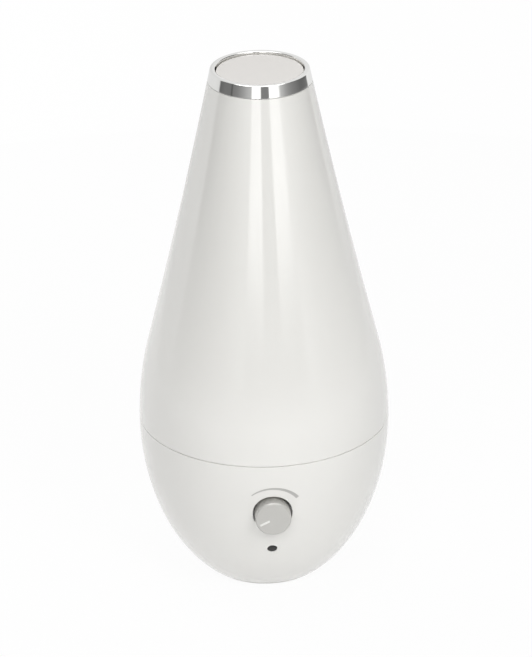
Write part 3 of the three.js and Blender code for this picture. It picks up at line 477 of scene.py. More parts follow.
class Graph:
    """Adds nodes to one node tree and links them."""

    def __init__(self, tree: bpy.types.NodeTree) -> None:
        """Starts on an emptied tree."""
        self.tree = tree
        self.tree.nodes.clear()

    def add(self, kind: str, inputs: dict | None = None, **settings: object) -> bpy.types.Node:
        """Adds a node.

        Args:
            kind: The node's type name without its ShaderNode prefix, or a whole type name.
            inputs: Values, or sockets to link, for its inputs by name or number.
            settings: Values for the node's own properties.

        Returns:
            The new node.
        """
        whole = kind if kind.startswith("NodeGroup") else f"ShaderNode{kind}"
        node = self.tree.nodes.new(whole)
        for key, value in settings.items():
            setattr(node, key, value)
        self.feed(node, inputs or {})
        return node

    def feed(self, node: bpy.types.Node, inputs: dict) -> None:
        """Sets a node's inputs.

        Args:
            node: The node.
            inputs: Values, or sockets to link, by the input's name or number.
        """
        for key, value in inputs.items():
            if isinstance(value, Socket):
                self.tree.links.new(value, node.inputs[key])
            else:
                node.inputs[key].default_value = value

    def math(self, operation: str, *values: object) -> Socket:
        """The result of a math node on values or sockets."""
        return self.add("Math", dict(enumerate(values)), operation=operation).outputs[0]

    def product(self, *values: object) -> Socket:
        """Multiplies values or sockets in their order.

        Args:
            values: The values or sockets.

        Returns:
            Their product.
        """
        total = values[0]
        for value in values[1:]:
            total = self.math("MULTIPLY", total, value)
        return total

    def noise(self, vector: Socket, scale: object, detail: float = 2.0) -> Socket:
        """The factor of a noise texture."""
        inputs = {"Vector": vector, "Scale": scale, "Detail": detail}
        return self.add("TexNoise", inputs).outputs["Fac"]

    def remap(self, value: Socket, span: Pair, to: tuple[object, object], ease: bool = False) -> Socket:
        """Maps a value from one range to another, and holds it at both ends.

        Args:
            value: The value.
            span: The ends of its own range.
            to: What the ends become.
            ease: Whether the change is eased in and out.

        Returns:
            The mapped value.
        """
        style = "SMOOTHSTEP" if ease else "LINEAR"
        inputs = dict(enumerate((value, *span, *to)))
        return self.add("MapRange", inputs, interpolation_type=style).outputs[0]


def new_group(name: str, inputs: dict[str, object], outputs: dict[str, str]) -> tuple[Graph, dict]:
    """Starts a shader node group.

    Args:
        name: The group's name.
        inputs: Input names with their default values, a tuple for a vector or a colour.
        outputs: Output names with the ends of their socket types' names.

    Returns:
        The group's graph and its inputs' sockets by name.
    """
    tree = bpy.data.node_groups.new(name, "ShaderNodeTree")
    graph = Graph(tree)
    vector = tree.interface.new_socket("Vector", in_out="INPUT", socket_type="NodeSocketVector")
    vector.default_value = (0.0, 0.0, 0.0)
    for key, value in inputs.items():
        size = len(value) if isinstance(value, tuple) else 1
        kind = {1: "NodeSocketFloat", 3: "NodeSocketVector", 4: "NodeSocketColor"}[size]
        socket = tree.interface.new_socket(key, in_out="INPUT", socket_type=kind)
        socket.default_value = value
    for key, kind in outputs.items():
        tree.interface.new_socket(key, in_out="OUTPUT", socket_type=f"NodeSocket{kind}")
    sockets = {socket.name: socket for socket in graph.add("NodeGroupInput").outputs}
    return graph, sockets


def colour_drift() -> bpy.types.NodeTree:
    """A colour that drifts a little lighter and darker over the surface.

    Returns:
        The group.
    """
    finer, broad_share, fine_share = 11.0, 1.4, 0.6
    inputs = {"Colour": (1.0, 1.0, 1.0, 1.0), "Scale": 10.0, "Amount": 0.02}
    graph, given = new_group("colour_drift", inputs, {"Colour": "Color"})
    broad = graph.noise(given["Vector"], given["Scale"])
    fine = graph.noise(given["Vector"], graph.product(given["Scale"], finer))
    both = graph.math("ADD", graph.product(broad, broad_share), graph.product(fine, fine_share))
    swing = graph.product(graph.math("SUBTRACT", both, 1.0), given["Amount"])
    gain = graph.math("ADD", swing, 1.0)
    tinted = graph.add("VectorMath", {0: given["Colour"], "Scale": gain}, operation="SCALE")
    graph.add("NodeGroupOutput", {"Colour": tinted.outputs[0]})
    return graph.tree


def handling() -> bpy.types.NodeTree:
    """A roughness with soft smudges where hands and cloths have been.

    Returns:
        The group.
    """
    bare, smeared, polish = 0.42, 0.72, -0.3
    inputs = {"Roughness": 0.3, "Scale": 14.0, "Amount": 0.1}
    graph, given = new_group("handling", inputs, {"Roughness": "Float"})
    smudge = graph.noise(given["Vector"], given["Scale"], 4.0)
    extra = graph.product(graph.remap(smudge, (bare, smeared), (polish, 1.0)), given["Amount"])
    graph.add("NodeGroupOutput", {"Roughness": graph.math("ADD", given["Roughness"], extra)})
    return graph.tree


def moulded_grain() -> bpy.types.NodeTree:
    """The height of a moulded skin: a slow waviness and a fine texture.

    Returns:
        The group.
    """
    inputs = {"Fine scale": 900.0, "Fine": 0.3, "Wave scale": 26.0, "Wave": 1.0}
    graph, given = new_group("moulded_grain", inputs, {"Height": "Float"})
    wave, fine = (
        graph.product(graph.noise(given["Vector"], given[f"{kind} scale"]), given[kind])
        for kind in ("Wave", "Fine")
    )
    graph.add("NodeGroupOutput", {"Height": graph.math("ADD", wave, fine)})
    return graph.tree


def hairline() -> bpy.types.NodeTree:
    """Fine lines left by a lathe or a brush, drawn out along the axis that is stretched least.

    Returns:
        The group.
    """
    graph, given = new_group("hairline", {"Stretch": (40.0, 900.0, 900.0)}, {"Height": "Float"})
    stretched = graph.add("VectorMath", {0: given["Vector"], 1: given["Stretch"]}, operation="MULTIPLY")
    graph.add("NodeGroupOutput", {"Height": graph.noise(stretched.outputs[0], 1.0, 3.0)})
    return graph.tree


def stripes() -> bpy.types.NodeTree:
    """Even stripes across an axis, such as laminations, windings or the traces of a board.

    Returns:
        The group.
    """
    wander_scale = 180.0
    inputs = {"Across": (0.0, 0.0, 1.0), "Pitch": 0.001, "Wander": 0.0}
    graph, given = new_group("stripes", inputs, {"Stripe": "Float"})
    along = graph.add("VectorMath", {0: given["Vector"], 1: given["Across"]}, operation="DOT_PRODUCT")
    turns = graph.math("DIVIDE", along.outputs["Value"], given["Pitch"])
    wander = graph.product(graph.noise(given["Vector"], wander_scale), given["Wander"])
    wave = graph.math("SINE", graph.product(graph.math("ADD", turns, wander), 2 * math.pi))
    graph.add("NodeGroupOutput", {"Stripe": graph.math("MULTIPLY_ADD", wave, 0.5, 0.5)})
    return graph.tree


# -------- finishes


def linear(colour: Colour) -> tuple[float, float, float, float]:
    """Turns a colour into the scene's linear light, by the sRGB curve.

    Args:
        colour: The colour, each part 0 to 255.

    Returns:
        The same colour, each part 0 to 1, and an alpha of 1.
    """
    parts = [c / 255 for c in colour]
    bright = [p / 12.92 if p <= 0.04045 else ((p + 0.055) / 1.055) ** 2.4 for p in parts]
    return (*bright, 1.0)


def new_material(name: str) -> tuple[Material, Graph]:
    """Starts a material.

    Args:
        name: Its name.

    Returns:
        The material and its emptied graph.
    """
    material = bpy.data.materials.new(name)
    material.use_nodes = True
    return material, Graph(material.node_tree)


class Look:
    """Builds surfaces and keeps the shader groups that they share."""

    def __init__(self) -> None:
        """Makes each shared group once."""
        trees = (colour_drift(), handling(), moulded_grain(), hairline(), stripes())
        self.groups = {tree.name: tree for tree in trees}

    def start(self, name: str) -> "Surface":
        """Starts a material whose surface is ready for its colour, roughness and bump.

        Args:
            name: Its name.

        Returns:
            The surface.
        """
        material, graph = new_material(name)
        shader = graph.add("BsdfPrincipled")
        graph.add("OutputMaterial", {"Surface": shader.outputs[0]})
        return Surface(material, graph, shader, graph.add("TexCoord").outputs["Object"], self.groups)


@dataclass(frozen=True)
class Surface:
    """A material under way: its shader, the surface's own coordinates and the shared groups."""

    material: Material
    graph: Graph
    shader: bpy.types.Node
    where: Socket
    groups: dict[str, bpy.types.NodeTree]

    def group(self, name: str, **inputs: object) -> Socket:
        """Places a shared group on the surface.

        Args:
            name: The group's name.
            inputs: Its inputs by name, with _ for a space.

        Returns:
            Its output.
        """
        named = {key.replace("_", " "): value for key, value in inputs.items()}
        named = {"Vector": self.where, **named}
        return self.graph.add("Group", named, node_tree=self.groups[name]).outputs[0]

    def skin(
        self, colour: object, drift: float, rough: float, smudge: float, height: Socket, relief: float
    ) -> None:
        """Gives the surface its colour, its roughness and its bump.

        Args:
            colour: The colour, or the socket that gives it.
            drift: How far the colour drifts.
            rough: The roughness.
            smudge: How far smudges raise it.
            height: The bump's height.
            relief: What the height is worth, in metres.
        """
        bump = self.graph.add("Bump", {"Height": height, "Distance": relief, "Strength": 1.0})
        sockets = {
            "Base Color": self.group("colour_drift", Colour=colour, Amount=drift),
            "Roughness": self.group("handling", Roughness=rough, Amount=smudge),
            "Normal": bump.outputs[0],
        }
        self.graph.feed(self.shader, sockets)


@dataclass(frozen=True)
class Moulding:
    """A moulded plastic or rubber."""

    name: str
    slot: str
    colour: Colour
    roughness: float = 0.35
    drift: float = 0.03
    smudge: float = 0.06
    fine: float = 0.3
    fine_scale: float = 900.0
    wave: float = 0.5
    relief: float = 0.00002
    clear: float = 0.0
    inner_light: float = 0.0
    ior: float = 1.5
    metal: float = 0.0

    def build(self, look: Look) -> Material:
        """Makes the material.

        Args:
            look: The shared groups.

        Returns:
            The finished material.
        """
        surface = look.start(self.name)
        grain = surface.group("moulded_grain", Fine=self.fine, Fine_scale=self.fine_scale, Wave=self.wave)
        surface.skin(linear(self.colour), self.drift, self.roughness, self.smudge, grain, self.relief)
        values = {
            "IOR": self.ior,
            "Metallic": self.metal,
            "Transmission Weight": self.clear,
            "Subsurface Weight": self.inner_light,
            "Subsurface Scale": 3 * MM,
        }
        surface.graph.feed(surface.shader, values)
        return surface.material


@dataclass(frozen=True)
class Metal:
    """A metal, turned, drawn or polished."""

    name: str
    slot: str
    colour: Colour
    roughness: float = 0.25
    lines: Triple = (60.0, 60.0, 1400.0)
    relief: float = 0.00001
    smudge: float = 0.08
    drift: float = 0.04

    def build(self, look: Look) -> Material:
        """Makes the material.

        Args:
            look: The shared groups.

        Returns:
            The finished material.
        """
        surface = look.start(self.name)
        marks = surface.group("hairline", Stretch=self.lines)
        surface.skin(linear(self.colour), self.drift, self.roughness, self.smudge, marks, self.relief)
        surface.graph.feed(surface.shader, {"Metallic": 1.0})
        return surface.material


@dataclass(frozen=True)
class Striped:
    """A material with even stripes: core plates, windings, board traces."""

    name: str
    slot: str
    colour: Colour
    stripe: Colour
    across: Triple
    pitch: float
    roughness: float
    metallic: float
    wander: float = 0.0
    drift: float = 0.06
    smudge: float = 0.1
    relief: float = 0.00004

    def build(self, look: Look) -> Material:
        """Makes the material.

        Args:
            look: The shared groups.

        Returns:
            The finished material.
        """
        surface = look.start(self.name)
        band = surface.group("stripes", Across=self.across, Pitch=self.pitch, Wander=self.wander)
        mixed = surface.graph.add("Mix", {"Factor": band}, data_type="RGBA")
        ends = [socket for socket in mixed.inputs if socket.type == "RGBA"]
        ends[0].default_value, ends[1].default_value = linear(self.colour), linear(self.stripe)
        blended = next(socket for socket in mixed.outputs if socket.type == "RGBA")
        surface.skin(blended, self.drift, self.roughness, self.smudge, band, self.relief)
        surface.graph.feed(surface.shader, {"Metallic": self.metallic})
        return surface.material


Finish = Moulding | Metal | Striped

PEARL = Moulding(
    "pearl_shell", "pearl_shell", (232, 231, 227), 0.045, 0.01, 0.02, fine=0.0, wave=1.0, ior=2.0
)
INNER = Moulding("inner_plastic", "inner_plastic", (226, 226, 221), 0.32, drift=0.02)
# The shell's pearl plastic given a darker colour: painted shade on the disc inside the ring.
DISC_PAINTED_SHADE = Moulding("disc_pearl_painted_shade", "pearl_shell", (222, 219, 215), 0.16, 0.01, 0.05, fine=0.1)
CLEAR = Moulding("clear_grey", "clear_grey", (214, 219, 219), 0.12, smudge=0.1, clear=0.55)
KNOB = Moulding(
    "silver_paint", "silver_knob", (193, 192, 188), 0.3, fine=0.7, fine_scale=2600.0, metal=0.15
)
POINTER = Moulding("pointer_white", "pointer_white", (236, 236, 232), 0.35)
PRINT = Moulding("grey_print", "silver_knob", (183, 182, 179), 0.4, drift=0.05, fine=0.8)
LENS = Moulding("smoked_lens", "smoked_lens", (14, 13, 13), 0.12, smudge=0.05, fine=0.1)
LED = Moulding("led_green", "led_green", (150, 205, 150), 0.2, clear=0.4)
RUBBER = Moulding("rubber", "rubber", (44, 44, 43), 0.7, fine=1.0, fine_scale=1500.0, relief=0.00008)
SILICONE = Moulding("silicone", "silicone", (188, 191, 191), 0.5, inner_light=0.2)
BLACK = Moulding("black_plastic", "black_plastic", (38, 39, 42), 0.42, fine=0.9, fine_scale=1800.0)
FOAM = Moulding(
    "float_foam", "float_foam", (222, 218, 208), 0.85, fine=1.0, fine_scale=2200.0, relief=0.0002
)
CHROME = Metal("chrome", "chrome", (232, 232, 230), 0.035, relief=0.0, smudge=0.03, drift=0.01)
STEEL = Metal("zinc_steel", "steel", (186, 187, 190), 0.3)
SPRING = Metal("spring_steel", "steel", (196, 197, 200), 0.22)
BRASS = Metal("brass", "brass", (205, 168, 98), 0.28, (900.0, 900.0, 60.0))
ALUMINIUM = Metal("aluminium", "aluminium", (190, 193, 198), 0.34, (60.0, 900.0, 1400.0))
MAGNET = Metal("sintered_magnet", "iron", (92, 90, 88), 0.45)
CORE = Striped(
    "laminated_core", "iron", (96, 92, 88), (58, 55, 52), (0.0, 1.0, 0.0), 0.0005, 0.5, 0.7
)
COIL = Striped(
    "enamelled_winding", "copper", (190, 104, 52), (120, 58, 26), (0.0, 0.0, 1.0), 0.0007, 0.3, 0.6, 0.4
)
BOARD = Striped(
    "solder_mask", "board", (46, 108, 66), (62, 130, 84), (1.0, 0.0, 0.35), 0.0026, 0.35, 0.0, 1.6
)
# The CAD nodes that stay in view, by their finish.
REPAINTED = {
    BLACK: ["blower_case", "blower_lid", "blower_wheel", *numbered("capacitor", 2)],
    STEEL: ["potentiometer", "pot_nut", "pot_shaft", *numbered("clamp_screw", 3)],
    COIL: ["blower_stator", "transformer_coil"],
    CORE: ["transformer_core"],
    BOARD: ["driver_board", "control_board", "level_sensor_board"],
    ALUMINIUM: ["heat_sink", "transducer_clamp"],
    LED: ["indicator_led"],
}


class Stores:
    """Hands out each finish's material, made when it is first asked for."""

    def __init__(self) -> None:
        """Starts with no material made."""
        self.look = Look()
        self.made: dict[str, Material] = {}

    def material(self, finish: Finish) -> Material:
        """Looks a finish's material up, or makes it.

        Args:
            finish: The finish.

        Returns:
            Its material.
        """
        if finish.name not in self.made:
            self.made[finish.name] = finish.build(self.look)
        return self.made[finish.name]

    def dress(self, obj: Object, finish: Finish, body: str, *nodes: str) -> Object:
        """Gives a new piece its finish, and says what carries it and what it stands for.

        Args:
            obj: The finished piece.
            finish: Its finish.
            body: The CAD body that it rides on.
            nodes: The CAD nodes that it replaces.

        Returns:
            The piece.
        """
        obj.data.materials.clear()
        obj.data.materials.append(self.material(finish))
        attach(obj, body)
        if nodes:
            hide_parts(*nodes)
        log.info("%s on %s, %d faces, for %s", obj.name, body, len(obj.data.polygons), nodes or "-")
        return obj

    def repaint(self, finish: Finish, nodes: Sequence[str]) -> None:
        """Gives CAD nodes that stay in view a finish.

        Args:
            finish: The finish.
            nodes: The nodes' names.
        """
        for node in nodes:
            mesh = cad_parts[node].data
            mesh.materials.clear()
            mesh.materials.append(self.material(finish))
            log.info("%s keeps its CAD shape, in %s", node, finish.name)


# -------- the body's outline


@dataclass(frozen=True)
class Teardrop:
    """The outline that the bowl and the tank share, as a radius for each height."""

    belly_radius: float = 91.98
    belly_height: float = 122.0
    bowl_cut: float = 15.0  # the floor cuts off so much of the ellipse that shapes the bowl
    mouth_radius: float = 35.38
    shoulder_radius: float = 250.0  # the arc that turns the belly into the flank
    shoulder_turn: float = math.radians(14.3)  # lean of the flank where that arc ends
    height: float = 395.0
    nudge: float = 0.01  # half of the height over which a slope is taken

    @property
    def shoulder_top(self) -> float:
        """The height where the shoulder's arc meets the flank's curve."""
        return self.belly_height + self.shoulder_radius * math.sin(self.shoulder_turn)

    def radius(self, z: float) -> float:
        """The body's radius at a height.

        Args:
            z: The height.

        Returns:
            The radius there: an ellipse below the belly, an arc above it, then a flank that
            leaves the arc along its lean and bows in a little on its way to the mouth.
        """
        if z <= self.belly_height:
            drop = (self.belly_height - z) / (self.belly_height + self.bowl_cut)
            return self.belly_radius * math.sqrt(1 - drop * drop)
        arc = self.shoulder_radius
        if z <= self.shoulder_top:
            return self.belly_radius - arc + math.sqrt(arc * arc - (z - self.belly_height) ** 2)
        start = Vector((self.belly_radius - arc * (1 - math.cos(self.shoulder_turn)), self.shoulder_top))
        end = Vector((self.mouth_radius, self.height))
        lean = Vector((-math.sin(self.shoulder_turn), math.cos(self.shoulder_turn)))
        bend = start + lean * ((end - start).length / 2)
        a = start.y - 2 * bend.y + end.y
        b = 2 * (bend.y - start.y)
        c = start.y - z
        t = 2 * -c / (b + math.sqrt(b * b - 4 * a * c))
        return (1 - t) ** 2 * start.x + 2 * t * (1 - t) * bend.x + t * t * end.x

    def slope(self, z: float) -> float:
        """How fast the radius grows with height."""
        return (self.radius(z + self.nudge) - self.radius(z - self.nudge)) / (2 * self.nudge)

    def inside(self, z: float, depth: float) -> float:
        """The radius of a wall that lies a depth inside the surface."""
        return self.radius(z) - depth * math.hypot(1, self.slope(z))

    def path(self, start: float, end: float, steps: int, depth: float = 0.0) -> list[Point]:
        """Points up or down the outline, or a depth inside it.

        Args:
            start: The first height.
            end: The last height.
            steps: How many steps lie between them.
            depth: The depth inside the surface.

        Returns:
            The points as (radius, height).
        """
        levels = [start + (end - start) * i / steps for i in range(steps + 1)]
        return [(self.inside(z, depth), z) for z in levels]


BODY = Teardrop()


@dataclass
class Assembly:
    """What the sub-assemblies share: their finishes, and the sizes at which they meet."""

    stores: Stores
    shell_wall: float = 2.6
    inner_wall: float = 2.3
    ledge_drop: float = 7.2  # from the bowl's rim to the ledge that carries the water tray
    neck_radius: float = 16.0  # the filler's neck under the tank
    head_hole: float = 3.1  # round a screw's head
    shank_hole: float = 1.7  # round its shank
    gap: float = 0.3  # between pieces that fit into each other
    slip: float = 0.5  # between pieces that slide past each other


# -------- base


def square_to_front(obj: Object, height: float) -> Object:
    """Sets a piece made on the Y axis square to the bowl's surface at the front."""
    tilt = turn(math.atan(BODY.slope(height)), "X")
    return settle(obj, shift(0, -BODY.radius(height), height) @ tilt)


@dataclass
class Bowl(Assembly):
    """The lower bowl with the knob's well, the lens hole and the cord's recess."""

    floor: float = 2.5
    opening: float = 34.0
    ledge_width: float = 3.0
    ledge: float = 2.0
    foot_lip: float = 0.6
    rim_lip: float = 0.2
    rim_rise: float = 0.2  # the rim stands so much above its CAD node's
    knob_height: float = 84.0
    well_radius: float = 14.4
    well_depth: float = 11.0
    well_wall: float = 2.0
    relief_rise: float = 1.5  # the well's mouth is cut back upwards by so much
    relief_depth: float = 3.0
    bush_radius: float = 4.7
    lens_height: float = 50.5
    lens_radius: float = 3.6
    lens_gap: float = 0.1
    lens_depth: float = 5.0
    lens_inset: float = 0.3
    lens_bulge: float = 0.35
    cord_height: float = 26.0
    cord_recess: float = 7.5
    recess_radius: float = 9.5
    recess_wall: float = 2.3
    cord_hole_radius: float = 5.5
    cord_bore: float = 3.4
    bush_neck: float = 5.2
    bush_flange: float = 2.5
    bush_roll: float = 1.6
    bush_edge: float = 0.8
    overlap: float = 5.0  # how far a cup or a bore runs past the wall that it meets
    small_reach: float = 8.0  # how far the cutter of a small hole reaches
    reach: float = 20.0  # how far the cutter of a recess reaches out of the bowl
    outer_rows: int = 46
    inner_rows: int = 24
    limit_rows: int = 40
    bulge_angles: tuple[float, ...] = (0, 0.3, 0.6, 0.9, 1.2)

    def shell(self) -> Object:
        """Makes the turned bowl, with the ledge that carries the water tray.

        Returns:
            The bowl without its cups and holes.
        """
        low, top = place("base_bowl").levels
        rim = top + self.rim_rise
        ledge_top = rim - self.ledge_drop
        ledge_inner = BODY.inside(ledge_top, self.shell_wall) - self.ledge_width - self.gap
        inside = low + self.floor
        outline = [
            (self.opening, low, EDGE),
            (BODY.radius(low), low, self.foot_lip),
            *BODY.path(low + 3, rim - 2, self.outer_rows),
            (BODY.radius(rim), rim, self.rim_lip),
            (BODY.inside(rim, self.shell_wall), rim, EDGE),
            (BODY.inside(ledge_top, self.shell_wall), ledge_top),
            (ledge_inner, ledge_top, EDGE),
            (ledge_inner, ledge_top - self.ledge, EDGE),
            *BODY.path(ledge_top - 3 * self.ledge, inside, self.inner_rows, self.shell_wall),
            (self.opening, inside, EDGE),
        ]
        return revolve("base_body", outline, SHELL)

    def cup(self, radius: float, front: float, back: float, height: float) -> Object:
        """Makes a round cup wall inside the bowl, trimmed to lie within the bowl's wall.

        Args:
            radius: Its radius.
            front: Where it begins along Y.
            back: Where it ends.
            height: The height of its axis.

        Returns:
            The wall, not yet hollow.
        """
        low, top = place("base_bowl").levels
        span = (low + self.gap, top - self.shell_wall, self.limit_rows)
        inner = BODY.path(*span, self.shell_wall / 2)
        solid = revolve("cup_limit", [(0, inner[0][1]), *inner, (0, inner[-1][1])], SHELL)
        wall = settle(drum("cup_wall", radius, front, back, ROUND, Axis.BACK), shift(0, 0, height))
        return carve(wall, [solid], Cut.WITHIN)

    def hollow(self, radius: float, start: float, end: float, height: float) -> Object:
        """The cutter of a round hole along Y."""
        return settle(drum("hollow", radius, start, end, RING, Axis.BACK), shift(0, 0, height))

    def build(self) -> None:
        """Makes the bowl and everything let into it."""
        front = -BODY.radius(self.knob_height)
        well = front + self.well_depth
        back = BODY.radius(self.cord_height)
        recess = back - self.cord_recess
        body = self.shell()
        outer = self.well_radius + self.well_wall
        well_end = well + self.well_wall
        carve(body, [self.cup(outer, front - self.overlap, well_end, self.knob_height)], Cut.ON)
        outer = self.recess_radius + self.recess_wall
        recess_end = recess - self.recess_wall
        carve(body, [self.cup(outer, recess_end, back + self.overlap, self.cord_height)], Cut.ON)
        lens = drum(
            "lens_hole", self.lens_radius + self.lens_gap, -self.small_reach, self.small_reach, axis=Axis.BACK
        )
        outside = front - self.reach
        relief = (front + self.relief_depth, self.knob_height + self.relief_rise)
        holes = [
            self.hollow(self.well_radius, outside, well, self.knob_height),
            self.hollow(self.well_radius, outside, *relief),
            self.hollow(self.bush_radius + self.gap, front, well + self.overlap, self.knob_height),
            square_to_front(lens, self.lens_height),
            self.hollow(self.recess_radius, recess, back + self.reach, self.cord_height),
            self.hollow(self.cord_hole_radius, recess - self.small_reach, back, self.cord_height),
        ]
        self.stores.dress(smooth(carve(body, holes)), PEARL, "base", "base_bowl")
        self.lens()
        self.cord_bush()

    def lens(self) -> None:
        """Makes the smoked lens of the indicator, nearly flush in its hole."""
        radius, inset, depth = self.lens_radius, self.lens_inset, self.lens_depth
        bulge = [
            (radius * math.sin(a), self.lens_bulge * math.cos(a) - inset) for a in self.bulge_angles
        ]
        outline = [*bulge, (radius, -inset, 0.15), (radius, -depth, CRISP), (0, -depth)]
        lens = revolve("indicator_window", outline, ROUND, Axis.FRONT, 3)
        self.stores.dress(square_to_front(lens, self.lens_height), LENS, "base", "indicator_lens")

    def cord_bush(self) -> None:
        """Makes the rubber bush in the cord's hole, with a flange and a rolled mouth."""
        node = place("cord_bush")
        low, high = node.low.y, node.high.y
        flange = high - self.bush_flange
        outline = [
            (self.cord_bore, low, EASED),
            (self.bush_neck, low, EASED),
            (self.bush_neck, flange),
            (node.radius, flange, EASED),
            (node.radius, high - self.bush_edge, 0.7),
            (self.cord_bore + self.bush_roll, high, 0.6),
            (self.cord_bore, high, SOFT),
        ]
        bush = revolve("cord_grommet", outline, ROUND, Axis.BACK)
        self.stores.dress(settle(bush, shift(0, 0, self.cord_height)), RUBBER, "base", "cord_bush")


@dataclass
class Dial(Assembly):
    """The control knob with its pointer, and the grey wedge printed over it."""

    chamfer: float = 1.0
    overlap: float = 0.25  # the knob's skirt stands so much outside its CAD node's
    draft: float = 0.05
    wall: float = 1.8
    shaft_radius: float = 3.0
    socket_depth: float = 5.0
    bar_across: float = 1.3  # the pointer's width in the CAD model
    bar_rounds: int = 20  # how often its lean is worked out afresh
    bar_broad: float = 1.6
    bar_fillet: float = 0.22
    bar_groove: float = 0.12
    arc_radius: float = 22.6
    arc_start: float = math.radians(132)
    arc_end: float = math.radians(37)
    arc_thin: float = 0.7
    arc_thick: float = 2.6
    arc_steps: int = 40
    print_depth: float = 0.06
    print_lift: float = 0.02
    print_away: float = -110.0  # the wedge is thrown onto the bowl from so far in front

    def build(self) -> None:
        """Makes the knob, its pointer and the printed wedge."""
        node = place("control_knob")
        face, back = -node.low.y, -node.high.y
        radius = node.radius + self.overlap
        face_radius = radius - self.draft
        face_back = face - self.wall - self.chamfer
        bore = self.shaft_radius + self.gap
        socket = self.shaft_radius + self.wall
        socket_end = back + self.socket_depth
        bore_end = face_back - self.chamfer
        outline = [
            (0, face),
            (face_radius - self.chamfer, face, EDGE),
            (face_radius, face - self.chamfer, EDGE),
            (radius, back, EASED),
            (radius - self.wall, back, EDGE),
            (radius - self.wall, face_back, SOFT),
            (socket, face_back, SOFT),
            (socket, socket_end, CRISP),
            (bore, socket_end, CRISP),
            (bore, bore_end),
            (0, bore_end),
        ]
        knob = settle(revolve("mist_knob", outline, RING, Axis.FRONT), shift(0, 0, node.centre.z))
        pointer = self.pointer()
        groove = copy(pointer, "pointer_slot", STILL)
        carve(knob, [apply_modifier(groove, "DISPLACE", strength=self.bar_groove * MM)])
        self.stores.dress(smooth(knob), KNOB, "knob", "control_knob")
        self.stores.dress(pointer, POINTER, "knob", "knob_pointer")
        self.printed_wedge(node.centre.z)

    def pointer(self) -> Object:
        """Makes the pale bar let into the knob's face, along the line of its CAD node.

        Returns:
            The bar.
        """
        node = place("knob_pointer")
        run = node.high - node.low
        angle, length = self.lean(run.x, run.z)
        half, width = length / 2, self.bar_broad / 2
        bar = block("pointer_bar", (-half, node.low.y, -width), (half, node.high.y, width))
        soften(bar, self.bar_fillet)
        return settle(bar, shift(*node.centre) @ turn(-angle, "Y") @ shift(0, -node.centre.y))

    def lean(self, wide: float, tall: float) -> Pair:
        """Finds how the pointer's bar leans in its box.

        Args:
            wide: The box's width.
            tall: The box's height.

        Returns:
            The bar's angle and its length.
        """
        across = self.bar_across
        angle = math.atan2(tall, wide)
        for _ in range(self.bar_rounds):
            long = (wide - across * math.sin(angle)) / math.cos(angle)
            angle = math.asin((tall - across * math.cos(angle)) / long)
        return angle, (wide - across * math.sin(angle)) / math.cos(angle)

    def wedge_edge(self, side: int, height: float) -> list[Point]:
        """Runs along one edge of the printed wedge.

        Args:
            side: -1 for the inner edge, 1 for the outer.
            height: The height of the knob's axis.

        Returns:
            The edge's points as (x, z), from the thin end.
        """
        thin, thick = self.arc_thin / 2, self.arc_thick / 2
        points = []
        for k in range(self.arc_steps + 1):
            t = k / self.arc_steps
            angle = self.arc_start + (self.arc_end - self.arc_start) * t
            half = thin + (thick - thin) * t
            r = self.arc_radius + side * half
            points.append((r * math.cos(angle), height + r * math.sin(angle)))
        return points

    def printed_wedge(self, height: float) -> None:
        """Makes the wedge that widens clockwise over the knob, laid on the bowl's surface.

        Args:
            height: The height of the knob's axis.
        """
        wedge = chain("dial_wedge", self.wedge_edge(-1, height))
        go_to("OBJECT")
        chain("wedge_edge", self.wedge_edge(1, height))
        go_to("OBJECT")
        wedge.select_set(True)
        bpy.context.view_layer.objects.active = wedge
        bpy.ops.object.join()
        go_to("EDIT")
        bpy.ops.mesh.select_all(action="SELECT")
        bpy.ops.mesh.bridge_edge_loops()
        bpy.ops.mesh.subdivide(number_cuts=1)
        go_to("OBJECT")
        settle(wedge, shift(0, self.print_away))
        apply_modifier(
            wedge,
            "SHRINKWRAP",
            target=bpy.data.objects["base_body"],
            wrap_method="PROJECT",
            use_project_y=True,
            use_positive_direction=True,
            use_negative_direction=False,
            offset=self.print_lift * MM,
        )
        apply_modifier(wedge, "SOLIDIFY", thickness=self.print_depth * MM, offset=1.0)
        go_to("EDIT")
        clean(wedge)
        self.stores.dress(smooth(wedge), PRINT, "base")


# -------- tank


